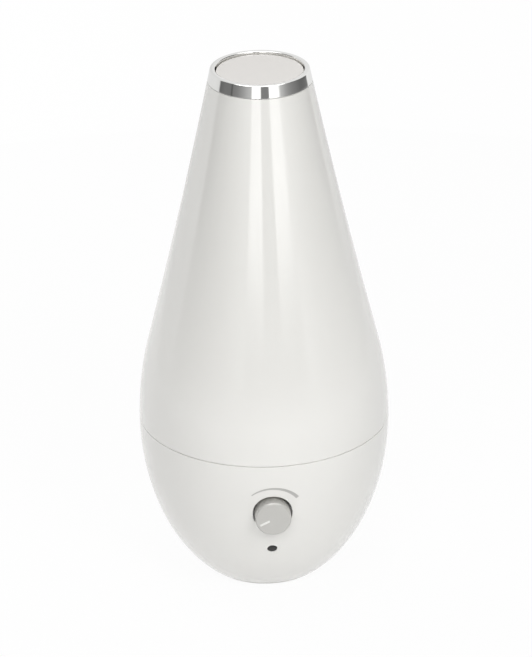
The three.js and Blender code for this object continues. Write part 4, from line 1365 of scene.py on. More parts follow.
@dataclass
class Tank(Assembly):
    """The tank's body, its mouth ring, collar, chimney, seals and floor."""

    foot_level: float = 117.0  # the foot is set in from the shell's inside at this height
    foot_inset: float = 6.6
    ring_bore: float = 31.8
    well_depth: float = 9.7  # from the mouth to the collar's floor
    collar_wall: float = 1.8
    holder_radius: float = 19.1  # the collar's sleeve round the chimney
    holder_step: float = 1.2
    duct_bore: float = 16.7
    duct_wall: float = 1.8
    funnel_straight: float = 12.0
    seal_play: float = 0.02
    seal_flash: float = 0.05
    flange: float = 2.7
    sleeve: float = 5.0
    neck_bore: float = 13.8
    outer_rows: int = 72
    inner_rows: int = 40
    ring_rows: int = 4
    seal_sides: int = 20
    flash_lean: float = 0.2  # the flash line lies where the seal's side leans less

    def build(self) -> None:
        """Makes the tank's pieces from the mouth down."""
        self.body()
        self.mouth_ring()
        self.collar()
        self.chimney()
        self.seals()
        self.floor()

    def body(self) -> None:
        """Makes the glossy shell."""
        low, high = place("tank_shell").levels
        wall = self.shell_wall
        outline = [
            (BODY.radius(low), low, CRISP),
            *BODY.path(low + 2, high - 1, self.outer_rows),
            (BODY.radius(high), high, CRISP),
            (BODY.inside(high, wall), high, CRISP),
            *BODY.path(high - 2, low + 2, self.inner_rows, wall),
            (BODY.inside(low, wall), low, EDGE),
        ]
        self.stores.dress(revolve("tank_body", outline, SHELL), PEARL, "tank", "tank_shell")

    def mouth_ring(self) -> None:
        """Makes the polished metal ring round the mouth, with a rounded lip."""
        low, high = place("chrome_ring").levels
        outline = [
            (self.ring_bore, low, EDGE),
            (BODY.radius(low), low, 0.25),
            *BODY.path(low + 2, high - 2, self.ring_rows),
            (BODY.radius(high), high, 1.0),
            (self.ring_bore, high, 0.7),
        ]
        ring = revolve("mouth_ring", outline, SHELL, arc=8)
        self.stores.dress(ring, CHROME, "tank", "chrome_ring")

    def collar(self) -> None:
        """Makes the collar under the ring, which holds the chimney's top."""
        node = place("outlet_collar")
        socket, top = node.levels
        floor = top - self.well_depth
        under, step = floor - self.inner_wall, floor + self.inner_wall
        outer, holder = node.radius, self.holder_radius
        inner = outer - self.collar_wall
        outline = [
            (inner, top, EDGE),
            (inner, floor, 1.0),
            (holder + self.holder_step, floor, EASED),
            (holder + self.holder_step, step, EASED),
            (holder, step, EDGE),
            (holder, socket, EDGE),
            (holder + self.inner_wall, socket, EASED),
            (holder + self.inner_wall, under, 0.6),
            (outer - self.inner_wall, under, 0.6),
            (outer, floor, EASED),
            (outer, top, EDGE),
        ]
        self.stores.dress(revolve("mouth_collar", outline, WIDE), INNER, "tank", "outlet_collar")

    def chimney(self) -> None:
        """Makes the mist's chimney, which opens into a funnel over the mist chamber."""
        node = place("mist_chimney")
        low, high = node.levels
        bore, wall = self.duct_bore, self.duct_wall
        funnel = node.radius - wall
        straight = self.funnel_straight - self.gap
        cone = straight + funnel - bore
        bend = wall * math.tan(math.pi / 8)
        outline = [
            (funnel, low, EDGE),
            (funnel + wall, low, EDGE),
            (funnel + wall, low + straight + bend, 2.0),
            (bore + wall, low + cone + bend, 4.0),
            (bore + wall, high, EASED),
            (bore, high, EASED),
            (bore, low + cone, 5.0),
            (funnel, low + straight, 2.0),
        ]
        duct = revolve("mist_duct", outline, WIDE, arc=6)
        self.stores.dress(duct, CLEAR, "tank", "mist_chimney")

    def seals(self) -> None:
        """Makes the two rubber rings round the chimney, with the fine flash line of their mould."""
        for level in ("lower", "upper"):
            node = place(f"chimney_seal_{level}")
            wire = (node.high.z - node.low.z) / 2 - self.seal_play
            centre = node.radius - wire - self.seal_play
            outline = []
            for angle in around(self.seal_sides):
                flash = self.seal_flash if abs(math.sin(angle)) < self.flash_lean else 0.0
                reach = wire - self.seal_flash + flash
                outline.append((centre + reach * math.cos(angle), node.centre.z + reach * math.sin(angle)))
            seal = revolve(f"duct_seal_{level}", outline, RING)
            self.stores.dress(seal, SILICONE, "tank", f"chimney_seal_{level}")

    def floor(self) -> None:
        """Makes the floor: its foot, the ring that holds the funnel, and the filler's neck."""
        node = place("tank_floor")
        neck_low, top = node.levels
        chimney = place("mist_chimney")
        under = chimney.low.z - self.gap - self.inner_wall
        floor_top = under + self.inner_wall
        foot = BODY.inside(self.foot_level, self.shell_wall) - self.foot_inset
        inner = chimney.radius - self.duct_wall
        holder = chimney.radius + self.gap
        sleeve_top = floor_top + self.sleeve
        outline = [
            (inner, under, EDGE),
            (foot, under, 1.0),
            (foot, top - self.flange),
            (node.radius, top - self.flange, EDGE),
            (node.radius, top, EASED),
            (foot - self.inner_wall, top, EASED),
            (foot - self.inner_wall, floor_top, 1.0),
            (holder + self.inner_wall, floor_top, SOFT),
            (holder + self.inner_wall, sleeve_top, EASED),
            (holder, sleeve_top, EDGE),
            (holder, floor_top),
            (inner, floor_top, EDGE),
        ]
        base = revolve("tank_base", outline, WIDE)
        neck = drum("neck", self.neck_radius, neck_low, under + 1, RING)
        bore = drum("neck_bore", self.neck_bore, neck_low - 1, floor_top + 1, RING)
        at = place("filler_cap").upright
        carve(base, [settle(neck, at)], Cut.ON)
        carve(base, [settle(bore, at)])
        self.stores.dress(smooth(base), CLEAR, "tank", "tank_floor")


@dataclass
class Outlet(Assembly):
    """The dished disc that the mist leaves round, on webs over a spigot."""

    dish: float = 0.7
    dish_share: float = 0.95  # the dish takes up so much of the disc's radius
    dish_step: float = 0.02
    dish_rows: int = 10
    overhang: float = 1.2  # the disc's edge stands so much outside its CAD node's
    thickness: float = 2.4
    spigot: float = 16.2
    spigot_height: float = 8.0
    wall: float = 1.8
    web: float = 2.0
    web_foot: float = 20.8
    web_end: float = 27.7
    web_inset: float = 0.3
    bridge_rise: float = 4.0
    notch_depth: float = 1.1
    notch_half: float = 0.7
    notch_height: float = 0.9
    notch_angles: Pair = (math.radians(-37), math.radians(-143))

    def build(self) -> None:
        """Makes the disc with its spigot, webs and the two gate marks at its edge."""
        node = place("outlet_disc")
        radius = node.radius + self.overhang
        low, top = node.levels
        under = top - self.thickness
        share, rows = self.dish_share, self.dish_rows
        dish = [
            (radius * (1 - k / rows) * share, top - self.dish * math.sin(k / rows * math.pi / 2))
            for k in range(1, rows + 1)
        ]
        side = [(0, under), (radius, under, EASED), (radius, top, 0.9)]
        outline = [*side, (radius * share, top - self.dish_step), *dish]
        disc = revolve("mist_disc", outline, SHELL, arc=6)
        spigot_top = low + self.spigot_height
        inner = self.spigot - self.wall
        tube = [
            (inner, low, EASED),
            (self.spigot, low, EASED),
            (self.spigot, spigot_top, EDGE),
            (inner, spigot_top, EDGE),
        ]
        ring = revolve("spigot", tube, RING)
        webs = ring_of(self.web_piece(under, spigot_top), around(4, math.pi / 4))
        carve(disc, [ring, *webs], Cut.ON)
        carve(disc, self.gate_marks(radius, top))
        # The disc's colour carries painted shade over the pearl plastic.
        self.stores.dress(smooth(disc), DISC_PAINTED_SHADE, "outlet", "outlet_disc")

    def web_piece(self, under: float, spigot_top: float) -> Object:
        """Makes one web along +X: a leg on the spigot, a bridge, and a foot on the collar.

        Args:
            under: The height of the disc's underside.
            spigot_top: The height of the spigot's top.

        Returns:
            The web.
        """
        half, end, spigot = self.web / 2, self.web_end, self.spigot
        low, top = spigot_top - self.web, under + 0.5
        foot = block("web", (self.web_foot, -half, low), (end, half, top))
        leg = block("leg", (spigot - self.wall, -half, low), (spigot - self.web_inset, half, top))
        bridge = block("bridge", (spigot - 1, -half, spigot_top + self.bridge_rise), (end, half, top))
        return carve(foot, [leg, bridge], Cut.ON)

    def gate_marks(self, radius: float, top: float) -> list[Object]:
        """The cutters of two small notches at the front of the disc's edge."""
        low = (radius - self.notch_depth, -self.notch_half, top - self.notch_height)
        return ring_of(block("notch", low, (radius + 1, self.notch_half, top + 1)), self.notch_angles)


# -------- underside


@dataclass
class Screw:
    """A pan-head screw with a cross recess, on the Z axis with its head at the bottom."""

    head: float = 2.75
    head_height: float = 1.1
    shank: float = 1.35
    length: float = 7.95
    collar: float = 1.0  # the plain shank under the head
    pitch: float = 1.0
    thread_depth: float = 0.35
    recess: float = 1.5
    recess_width: float = 0.7
    recess_depth: float = 0.75

    def make(self, name: str) -> Object:
        """Makes one screw.

        Args:
            name: Its name.

        Returns:
            The screw.
        """
        tip = self.head_height + self.length
        outline = [
            (0, 0),
            (self.head, 0, 0.6),
            (self.head, self.head_height, 0.15),
            (self.shank, self.head_height),
            *self.thread(self.head_height + self.collar, tip - self.shank),
            (0, tip),
        ]
        screw = revolve(name, outline, SCREW, arc=3)
        half, width = self.recess, self.recess_width / 2
        bar = block("recess", (-half, -width, -1), (half, width, self.recess_depth))
        return smooth(carve(screw, [copy(bar, "recess_2", turn(math.pi / 2)), bar]))

    def thread(self, low: float, high: float) -> list[Point]:
        """Draws the thread's flanks, as a zigzag outline of the shank.

        Args:
            low: The height where the thread begins.
            high: The height where it ends.

        Returns:
            The outline's points.
        """
        root = self.shank - self.thread_depth
        turns = [low + self.pitch * k for k in range(int((high - low) / self.pitch))]
        points = [p for z in turns for p in ((root, z), (self.shank, z + self.pitch / 2))]
        return [*points, (root, high)]


@dataclass
class Underside(Assembly):
    """The bottom plate with its intake grille, the four feet and the case screws."""

    thickness: float = 2.7
    guide: float = 33.5
    rim_height: float = 3.0
    plate_play: float = 0.03
    grille_radius: float = 25.0
    slot_width: float = 3.0
    slot_pitch: float = 6.0
    slot_reach: float = 3.0
    slot_flat: float = 0.05
    foot_play: float = 0.05
    sole_rings: Triple = (1.2, 2.4, 3.6)
    sole_groove: float = 0.35
    sole_step: float = 0.2

    def build(self) -> None:
        """Makes the plate, the feet and the screws."""
        self.plate()
        self.feet()
        screw = Screw().make("case_screw")
        for name in numbered("plate_screw", 3):
            node = place(name)
            made = copy(screw, f"case_{name}", shift(node.centre.x, node.centre.y, node.low.z))
            self.stores.dress(made, STEEL, "base", name)
        for name in numbered("tray_screw", 4):
            node = place(name)
            upside = shift(node.centre.x, node.centre.y, node.high.z) @ turn(math.pi, "X")
            self.stores.dress(copy(screw, f"inner_{name}", upside), STEEL, "base", name)
        bpy.data.objects.remove(screw)

    def plate(self) -> None:
        """Makes the plate: guide rim, parallel intake slots, recesses for feet and screws."""
        node = place("bottom_plate")
        low, radius = node.low.z, node.radius - self.plate_play
        top = low + self.thickness
        rim = top + self.rim_height
        inner = self.guide - self.inner_wall
        outline = [
            (0, low),
            (radius, low, 0.8),
            (radius, top, CRISP),
            (self.guide, top),
            (self.guide, rim, EDGE),
            (inner, rim, EDGE),
            (inner, top),
            (0, top),
        ]
        plate = revolve("base_plate", outline, WIDE)
        carve(plate, [*self.slots(low, top), *self.recesses(low, top)])
        self.stores.dress(smooth(plate), INNER, "base", "bottom_plate")

    def slots(self, low: float, top: float) -> list[Object]:
        """Makes the cutters of the intake slots, round at their ends.

        Args:
            low: The height of the plate's underside.
            top: The height of its top.

        Returns:
            The cutters, from the left to the right.
        """
        count = int((self.grille_radius - self.slot_width) / self.slot_pitch)
        half = self.slot_width / 2
        low, top = low - self.slot_reach, top + self.slot_reach
        cutters = []
        for i in range(-count, count + 1):
            x = i * self.slot_pitch
            end = math.sqrt(self.grille_radius**2 - x * x)
            slot = block(f"slot_{i}", (x - half, -end, low), (x + half, end, top))
            cutters.append(apply_modifier(slot, "BEVEL", width=(half - self.slot_flat) * MM, segments=6))
        return cutters

    def recesses(self, low: float, top: float) -> list[Object]:
        """Makes the cutters of the foot recesses and of the stepped screw holes.

        Args:
            low: The height of the plate's underside.
            top: The height of its top.

        Returns:
            The cutters.
        """
        cutters = []
        for name in numbered("rubber_foot", 4):
            node = place(name)
            hole = drum("foot_recess", node.radius + self.gap, -1, node.high.z + self.gap, SMALL)
            cutters.append(settle(hole, node.upright))
        for name in numbered("plate_screw", 3):
            node = place(name)
            head_top = node.low.z + Screw.head_height + self.gap
            head = drum("head_recess", self.head_hole, -1, head_top, SMALL)
            shank = drum("shank_hole", self.shank_hole, low, top + 1, SCREW)
            cutters += [settle(part, node.upright) for part in (head, shank)]
        return cutters

    def feet(self) -> None:
        """Makes the rubber feet, with rings moulded in their soles."""
        groove, step = self.sole_groove, self.sole_step
        for name in numbered("rubber_foot", 4):
            node = place(name)
            radius, top = node.radius - self.foot_play, node.high.z
            ring = [(k * step, z) for k, z in enumerate((0.0, groove, groove, 0.0))]
            sole = [(r + out, z) for r in self.sole_rings for out, z in ring]
            outline = [(0, 0), *sole, (radius, 0, 0.7), (radius, top, EDGE), (0, top)]
            foot = revolve(name.replace("rubber", "sole"), outline, SMALL)
            self.stores.dress(settle(foot, node.upright), RUBBER, "base", name)


# -------- water tray


@dataclass
class Tray(Assembly):
    """The moulded water tray and the parts that stand in it."""

    floor_drop: float = 14.7
    wing: float = 3.0  # the rim reaches so much further out than the side under it
    well_radius: float = 35.0
    well_depth: float = 19.0
    boss_drop: float = 6.0
    pocket_radius: float = 21.0
    pocket_drop: float = 18.2  # the filler pocket's floor lies so far below the tray's
    float_radius: float = 14.0
    feed_half: float = 6.0
    float_feed_half: float = 4.0
    feed_sill: float = 1.5
    riser_half: float = 6.0
    riser_left: float = 10.0
    riser_right: float = 30.0
    riser_rise: float = 3.5
    socket_half: float = 10.1
    socket_out: float = 4.1  # the riser's socket reaches so far past the riser
    socket_drop: float = 7.0
    seat_half: float = 7.8  # the hollow of the socket, in which the blower's duct sits
    seat_out: float = 1.8
    seat_drop: float = 9.0
    transducer_x: float = -14.0
    clamp_radius: float = 18.0
    drip_radius: float = 9.0  # the hole over the transducer
    seat_radius: float = 13.5
    electrode: float = 6.4
    electrode_edge: float = 0.3
    electrode_step: float = 0.25
    seal_neck: float = 10.3
    seal_radius: float = 13.2
    post_radius: float = 3.0
    post_height: float = 3.0
    gauge_post: float = 2.8
    gauge_top: float = 1.5  # how far the gauge's post stands out of its clip
    post_fillet: float = 0.4
    head_depth: float = 1.4
    hood_roof: float = 1.8
    hood_fillet: float = 1.2
    float_bore: float = 3.3
    clip_bore: float = 3.1
    clip_fillet: float = 0.25
    mouth_half: float = 1.1
    mouth_reach: float = 9.0
    mouth_height: float = 5.0
    tall: float = 10.0  # how far the riser's cutter stands over the floor
    bite: float = 0.5  # how far bodies that become one reach into each other
    flush: float = 0.01  # how far a body stays under a face that it would lie in

    def __post_init__(self) -> None:
        """Works the levels and places out from the frame."""
        self.rim = place("base_bowl").high.z
        self.floor = self.rim - self.floor_drop
        self.under = self.floor - self.inner_wall
        self.well_floor = self.floor - self.well_depth
        self.well_under = self.well_floor - self.inner_wall
        self.pocket_floor = self.floor - self.pocket_drop
        self.filler_y = place("filler_cap").centre.y
        self.float_x = place("float_ring").centre.x
        self.clamp_top = self.well_under - self.boss_drop

    def build(self) -> None:
        """Makes the tray and its fittings."""
        self.tray()
        self.transducer()
        self.air_hood()
        self.gauge()

    def shell(self) -> Object:
        """Makes the tray's turned shell: rim, ledge, floor and the well in its middle.

        Returns:
            The shell.
        """
        ledge = self.rim - self.ledge_drop
        rim_radius = BODY.inside(ledge, self.shell_wall) - self.slip
        outer = rim_radius - self.wing
        inner = outer - self.inner_wall
        well_outer = self.well_radius + self.inner_wall
        outline = [
            (0, self.well_floor),
            (self.well_radius, self.well_floor, 2.5),
            (self.well_radius, self.floor, 0.8),
            (inner, self.floor, 1.2),
            (inner, self.rim - self.slip, SOFT),
            (rim_radius, self.rim - self.slip, 0.6),
            (rim_radius, ledge + self.gap, EDGE),
            (outer, ledge + self.gap),
            (outer, self.under, 1.5),
            (well_outer, self.under),
            (well_outer, self.well_under, 1.5),
            (0, self.well_under),
        ]
        return revolve("water_basin", outline, WIDE)

    def cup(self, radius: float, low: float, high: float, at: Point) -> Object:
        """A round bar that stands at a place in the tray."""
        return settle(drum("cup", radius, low, high, WASHER), shift(*at))

    def channel(self, half: float, edge: float, angle: float) -> tuple[Object, Object]:
        """Makes the walls and the hollow of a channel from the well to a pocket.

        Args:
            half: Half of the channel's width.
            edge: How far from the middle the pocket begins.
            angle: The way to the pocket, turned from +Y.

        Returns:
            The body of the walls and the body of the hollow.
        """
        wall, well = self.inner_wall, self.well_radius
        low = self.pocket_floor + self.feed_sill
        outer, end = half + wall, edge + 2 * wall
        walls = block(
            "channel", (-outer, well + self.bite, low - wall), (outer, end, self.floor - self.flush)
        )
        hollow = block("channel_hollow", (-half, well - wall, low), (half, end, self.rim + 1))
        return settle(walls, turn(angle)), settle(hollow, turn(angle))

    def across_riser(self, name: str, out: float, half: float, low: float, high: float) -> Object:
        """A box round the air riser, which reaches so far out past its two ends."""
        return block(name, (self.riser_left - out, -half, low), (self.riser_right + out, half, high))

    def tray(self) -> None:
        """Makes the whole moulding."""
        wall, well_under = self.inner_wall, self.well_under
        pocket, gauge, transducer = (0.0, self.filler_y), (self.float_x, 0.0), (self.transducer_x, 0.0)
        feed = self.channel(self.feed_half, self.filler_y - self.pocket_radius, 0)
        side = self.channel(self.float_feed_half, -self.float_x - self.float_radius, math.pi / 2)
        bitten, clear, below = well_under + self.bite, self.rim + 1, self.floor - self.flush
        riser_low, riser_top = well_under - self.gap, self.floor + self.riser_rise
        riser = self.across_riser("riser", wall, self.riser_half + wall, bitten, riser_top)
        socket_low = riser_low - self.socket_drop
        adds = [
            self.cup(self.pocket_radius + wall, self.pocket_floor - wall, below, pocket),
            self.cup(self.float_radius + wall, well_under, below, gauge),
            feed[0],
            side[0],
            soften(riser, 0.5),
            self.across_riser("socket", self.socket_out, self.socket_half, socket_low, bitten),
            self.cup(self.clamp_radius, self.clamp_top, bitten, transducer),
        ]
        tray = carve(self.shell(), adds, Cut.ON)
        seat_low = well_under - self.seat_drop
        cuts = [
            self.cup(self.pocket_radius, self.pocket_floor, clear, pocket),
            self.cup(self.float_radius, self.well_floor, clear, gauge),
            feed[1],
            side[1],
            self.cup(self.drip_radius, self.clamp_top - 1, self.well_floor + 1, transducer),
            self.cup(self.seat_radius, self.clamp_top - 1, well_under, transducer),
            self.across_riser("riser_hollow", 0.0, self.riser_half, riser_low, self.floor + self.tall),
            self.across_riser("seat", self.seat_out, self.seat_half, seat_low, well_under),
            *self.screw_holes(),
        ]
        carve(tray, cuts)
        post_top, gauge_top = (
            self.pocket_floor + self.post_height,
            place("float_clip").high.z + self.gauge_top,
        )
        posts = [
            self.cup(self.post_radius, self.pocket_floor - self.bite, post_top, pocket),
            self.cup(self.gauge_post, self.well_floor - self.bite, gauge_top, gauge),
        ]
        carve(tray, [soften(post, self.post_fillet) for post in posts], Cut.ON)
        self.stores.dress(smooth(tray), INNER, "base", "water_tray")

    def screw_holes(self) -> list[Object]:
        """Makes the cutters of the counterbored holes in the tray's floor.

        Returns:
            The cutters.
        """
        cutters = []
        for name in numbered("tray_screw", 4):
            at = place(name).centre.xy
            cutters.append(self.cup(self.head_hole, self.floor - self.head_depth, self.rim + 1, at))
            cutters.append(self.cup(self.shank_hole, self.under - 1, self.floor + 1, at))
        return cutters

    def transducer(self) -> None:
        """Makes the piezo disc with its stepped electrode, and the rubber collar round it."""
        node = place("transducer_disc")
        low, top = node.levels
        radius, face = node.radius, top - self.electrode_step
        electrode = [(0, face), (self.electrode, face, 0.1), (self.electrode + self.electrode_edge, top, 0.1)]
        outline = [*electrode, (radius, top, 0.15), (radius, low, 0.15), (0, low)]
        disc = revolve("piezo_plate", outline, RING, arc=3)
        at = shift(self.transducer_x, 0)
        self.stores.dress(settle(disc, at), BRASS, "base", "transducer_disc")
        low, top = place("transducer_seal").levels
        section = [
            (self.drip_radius, top, EDGE),
            (self.drip_radius, top - 1, CRISP),
            (self.seal_neck, top - 1),
            (self.seal_neck, low, CRISP),
            (self.seal_radius, low, EDGE),
            (self.seal_radius, top, EDGE),
        ]
        seal = settle(revolve("piezo_collar", section, RING), at)
        self.stores.dress(seal, SILICONE, "base", "transducer_seal")

    def air_hood(self) -> None:
        """Makes the hood over the air riser, open towards the transducer."""
        node = place("air_hood")
        low, high = node.low, node.high
        hood = soften(block("riser_hood", low, high), self.hood_fillet, 5)
        wall = self.inner_wall
        inside = block(
            "hood_hollow",
            (low.x - 2, low.y + wall, low.z - 2),
            (high.x - wall, high.y - wall, high.z - self.hood_roof),
        )
        self.stores.dress(smooth(carve(hood, [inside])), INNER, "base", "air_hood")

    def gauge(self) -> None:
        """Makes the float with its magnet, and the clip that keeps them on their post."""
        ring = self.washer("level_float", "float_ring", self.float_bore, 1.0)
        self.stores.dress(ring, FOAM, "float", "float_ring")
        magnet = self.washer("float_magnet_ring", "float_magnet", self.float_bore, EDGE)
        self.stores.dress(magnet, MAGNET, "float", "float_magnet")
        clip = self.washer("post_clip", "float_clip", self.clip_bore, self.clip_fillet)
        x, top = self.float_x, place("float_clip").high.z
        reach, half, height = self.mouth_reach, self.mouth_half, self.mouth_height
        mouth = block("clip_mouth", (x, -half, top - height), (x + reach, half, top + height))
        self.stores.dress(smooth(carve(clip, [mouth])), INNER, "base", "float_clip")

    def washer(self, name: str, node_name: str, bore: float, fillet: float) -> Object:
        """Makes a ring of a CAD node's size with rounded edges.

        Args:
            name: The ring's name.
            node_name: The CAD node's name.
            bore: The radius of its hole.
            fillet: The rounding of its outer edges.

        Returns:
            The ring, in its place.
        """
        node = place(node_name)
        low, high = node.levels
        outer = (node.high.y - node.low.y) / 2 - self.flush
        half = fillet / 2
        section = [(bore, low, half), (outer, low, fillet), (outer, high, fillet), (bore, high, half)]
        return settle(revolve(name, section, WASHER), node.upright)


# -------- filler cap and valve


@dataclass
class Filler(Assembly):
    """The bayonet cap of the tank's neck, with the valve that opens on the tray's post."""

    cap_radius: float = 19.3
    cap_height: float = 12.7
    cap_wall: float = 2.2
    neck_wall: float = 2.2
    bead: float = 0.3
    cage_radius: float = 12.8
    cage_wall: float = 2.2
    leg_half: float = 1.2
    leg_top: float = 23.1
    bridge_low: float = 21.0
    bridge_high: float = 23.2
    grips: int = 10
    grip_out: float = 0.88
    grip_inset: float = 0.9
    grip_fillet: float = 0.35
    port_half: float = 1.6
    port_start: float = 2.2  # outside the stem
    port_end: float = 1.6  # inside the valve's edge
    window_half: float = 3.0
    window_start: float = 1.2  # outside the spring
    window_end: float = 2.7  # inside the cage
    window_low: float = 18.0
    above: float = 25.0  # how far the cap's cutters reach up
    stem_radius: float = 2.2
    valve_radius: float = 8.6
    valve_play: float = 0.05
    flange: float = 1.8
    spring_radius: float = 4.0
    wire: float = 0.5
    wire_sides: int = 12
    turns: float = 3.5
    turn_steps: int = 36
    flush: float = 0.02  # how far a body stays under a face that it would lie in

    def build(self) -> None:
        """Makes the cap, its gasket, the valve and its spring."""
        self.at = place("filler_cap").upright
        self.cap()
        self.gasket()
        self.valve()
        self.spring()

    def cap(self) -> None:
        """Makes the cap: skirt, grips, water ports, and the cage that guides the valve."""
        low = place("filler_cap").low.z
        radius, top, floor = self.cap_radius, low + self.cap_height, low + self.cap_wall
        inner = self.neck_radius + self.slip
        section = [
            (0, low),
            (radius, low, 0.9),
            (radius, top, EASED),
            (inner, top, EDGE),
            (inner, floor, SOFT),
            (0, floor),
        ]
        cap = revolve("tank_cap", section, RING)
        inset, cage = self.grip_inset, self.cage_radius
        grip = block("grip", (radius - 0.5, -1, low + inset), (radius + self.grip_out, 1, top - inset))
        soften(grip, self.grip_fillet)
        leg = block(
            "leg",
            (cage - self.cage_wall, -self.leg_half, floor - 0.5),
            (cage, self.leg_half, low + self.leg_top),
        )
        bridge = drum("bridge", cage - self.flush, low + self.bridge_low, low + self.bridge_high)
        rings = [*ring_of(grip, around(self.grips)), *ring_of(leg, around(3, math.pi / 3))]
        carve(cap, [*rings, soften(bridge, 0.4)], Cut.ON)
        start, end = self.stem_radius + self.port_start, self.valve_radius - self.port_end
        port = block("port", (start, -self.port_half, low - 1), (end, self.port_half, floor + 1))
        apply_modifier(port, "BEVEL", width=0.5 * MM, segments=3)
        start, end = self.spring_radius + self.window_start, cage - self.window_end
        window = block(
            "window",
            (start, -self.window_half, low + self.window_low),
            (end, self.window_half, low + self.above),
        )
        cuts = [*ring_of(port, around(3)), *ring_of(window, around(3))]
        cuts.append(drum("stem_hole", self.stem_radius + self.gap, low - 1, low + self.above, SMALL))
        carve(cap, cuts)
        self.stores.dress(smooth(settle(cap, self.at)), INNER, "cap", "filler_cap")

    def gasket(self) -> None:
        """Makes the flat rubber ring that the neck presses on, with a raised bead."""
        low, high = place("filler_gasket").levels
        flat = high - self.bead
        inner, outer = self.neck_radius - self.neck_wall, self.neck_radius - self.flush
        middle = (inner + outer) / 2
        section = [
            (inner, low, CRISP),
            (outer, low, CRISP),
            (outer, flat, 0.15),
            (middle + 0.5, flat),
            (middle, high, 0.1),
            (middle - 0.5, flat),
            (inner, flat, 0.15),
        ]
        ring = settle(revolve("cap_gasket", section, RING), self.at)
        self.stores.dress(ring, SILICONE, "cap", "filler_gasket")

    def valve(self) -> None:
        """Makes the plunger that the post lifts, and the rubber washer under its flange."""
        low, high = place("valve_plunger").levels
        washer_low, washer_high = place("valve_seal").levels
        flange_low = washer_high + self.gap
        flange_high = flange_low + self.flange
        radius = self.valve_radius - self.valve_play
        section = [
            (0, low),
            (self.stem_radius, low, 0.6),
            (self.stem_radius, flange_low, EDGE),
            (radius, flange_low, CRISP),
            (radius, flange_high, 0.6),
            (self.stem_radius, flange_high, 0.6),
            (self.stem_radius, high, SOFT),
            (0, high),
        ]
        stem = settle(revolve("valve_stem", section, ROUND), self.at)
        self.stores.dress(stem, INNER, "valve", "valve_plunger")
        bore = self.stem_radius + self.gap
        section = [
            (bore, washer_low, CRISP),
            (radius, washer_low, SOFT),
            (radius, washer_high, CRISP),
            (bore, washer_high, CRISP),
        ]
        ring = settle(revolve("valve_washer", section, ROUND), self.at)
        self.stores.dress(ring, SILICONE, "valve", "valve_seal")

    def spring(self) -> None:
        """Makes the coil that presses the valve shut."""
        low, high = place("valve_spring").levels
        start = low + self.wire
        wire = [
            (self.spring_radius + self.wire * math.cos(a), start + self.wire * math.sin(a))
            for a in around(self.wire_sides)
        ]
        spring = chain("valve_coil", [*wire, wire[0]])
        merge_doubles()
        go_to("OBJECT")
        steps = int(self.turns * self.turn_steps)
        apply_modifier(
            spring,
            "SCREW",
            axis="Z",
            angle=2 * math.pi * self.turns,
            screw_offset=(high - low - 2 * self.wire) * MM,
            steps=steps,
            render_steps=steps,
            use_merge_vertices=False,
        )
        go_to("EDIT")
        bpy.ops.mesh.select_all(action="DESELECT")
        bpy.ops.mesh.select_non_manifold()
        bpy.ops.mesh.fill_holes(sides=0)
        clean(spring)
        settle(spring, self.at)
        spring.data.materials.append(self.stores.material(SPRING))
        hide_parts("valve_spring")
        smooth(spring, 60)
        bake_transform(spring)
        log.info("valve_coil bends between cap and valve")


# -------- studio


def towards(azimuth: float, elevation: float) -> Vector:
    """The direction to the right of the front and above the floor, by angles in radians."""
    flat = math.cos(elevation)
    return Vector((math.sin(azimuth) * flat, -math.cos(azimuth) * flat, math.sin(elevation)))


def facing_back(direction: Vector) -> Matrix:
    """The turn of a camera or a lamp that looks back along a direction."""
    return direction.to_track_quat("Z", "Y").to_matrix().to_4x4()


@dataclass(frozen=True)
class Lamp:
    """A square lamp, by its place on a dome round the middle of the body."""

    name: str
    azimuth: float  # degrees to the right of the front
    elevation: float  # degrees above the floor
    distance: float  # metres
    size: float  # metres along its side
    power: float  # watts
    sheen: bool = False  # whether only reflections show it, or only matt surfaces

    def hang(self, middle: Vector) -> None:
        """Adds the lamp to the scene.

        Args:
            middle: The middle of the body.
        """
        data = bpy.data.lights.new(self.name, "AREA")
        data.energy = self.power
        data.size = self.size
        lamp = bpy.data.objects.new(self.name, data)
        bpy.context.scene.collection.objects.link(lamp)
        away = towards(math.radians(self.azimuth), math.radians(self.elevation))
        lamp.matrix_world = Matrix.Translation(middle + away * self.distance) @ facing_back(away)
        lamp.visible_glossy = self.sheen
        lamp.visible_diffuse = not self.sheen


LAMPS = (
    Lamp("right_key", 25, 34, 1.7, 0.7, 12.3),
    Lamp("left_key", -16, 34, 1.7, 0.6, 8.6),
    Lamp("left_rim", -140, 12, 1.7, 0.6, 7.6),
    Lamp("top_light", 0, 89, 2.0, 1.4, 8.2),
    Lamp("sheen", -4, 64, 1.6, 2.0, 36.0, sheen=True),
)
# Azimuths in degrees from the camera's, each with its level of light.
SOFTBOXES = (
    (-17.6, 0), (-16.6, 1), (1, 1), (1.6, 0),
    (18.2, 0), (18.8, 1), (37.5, 1), (44, 0),
)
WALL = (
    (-180, 0.82), (-112, 0.88), (-98, 0.82), (-94, 0.15), (-80, 0.2), (-65, 0.2), (-62, 0.1), (-59, 0.22),
    (-48, 0.27), (-35, 0.4), (-24, 0.55), (-18, 0.6), (-17, 0.25), (40, 0.25), (44, 0.62), (48, 0.56),
    (55, 0.42), (62, 0.34), (70, 0.27), (86, 0.2), (95, 0.16), (122, 0.14), (126, 1.0), (180, 0.9),
)
WHITE = (1, 1, 1, 1)


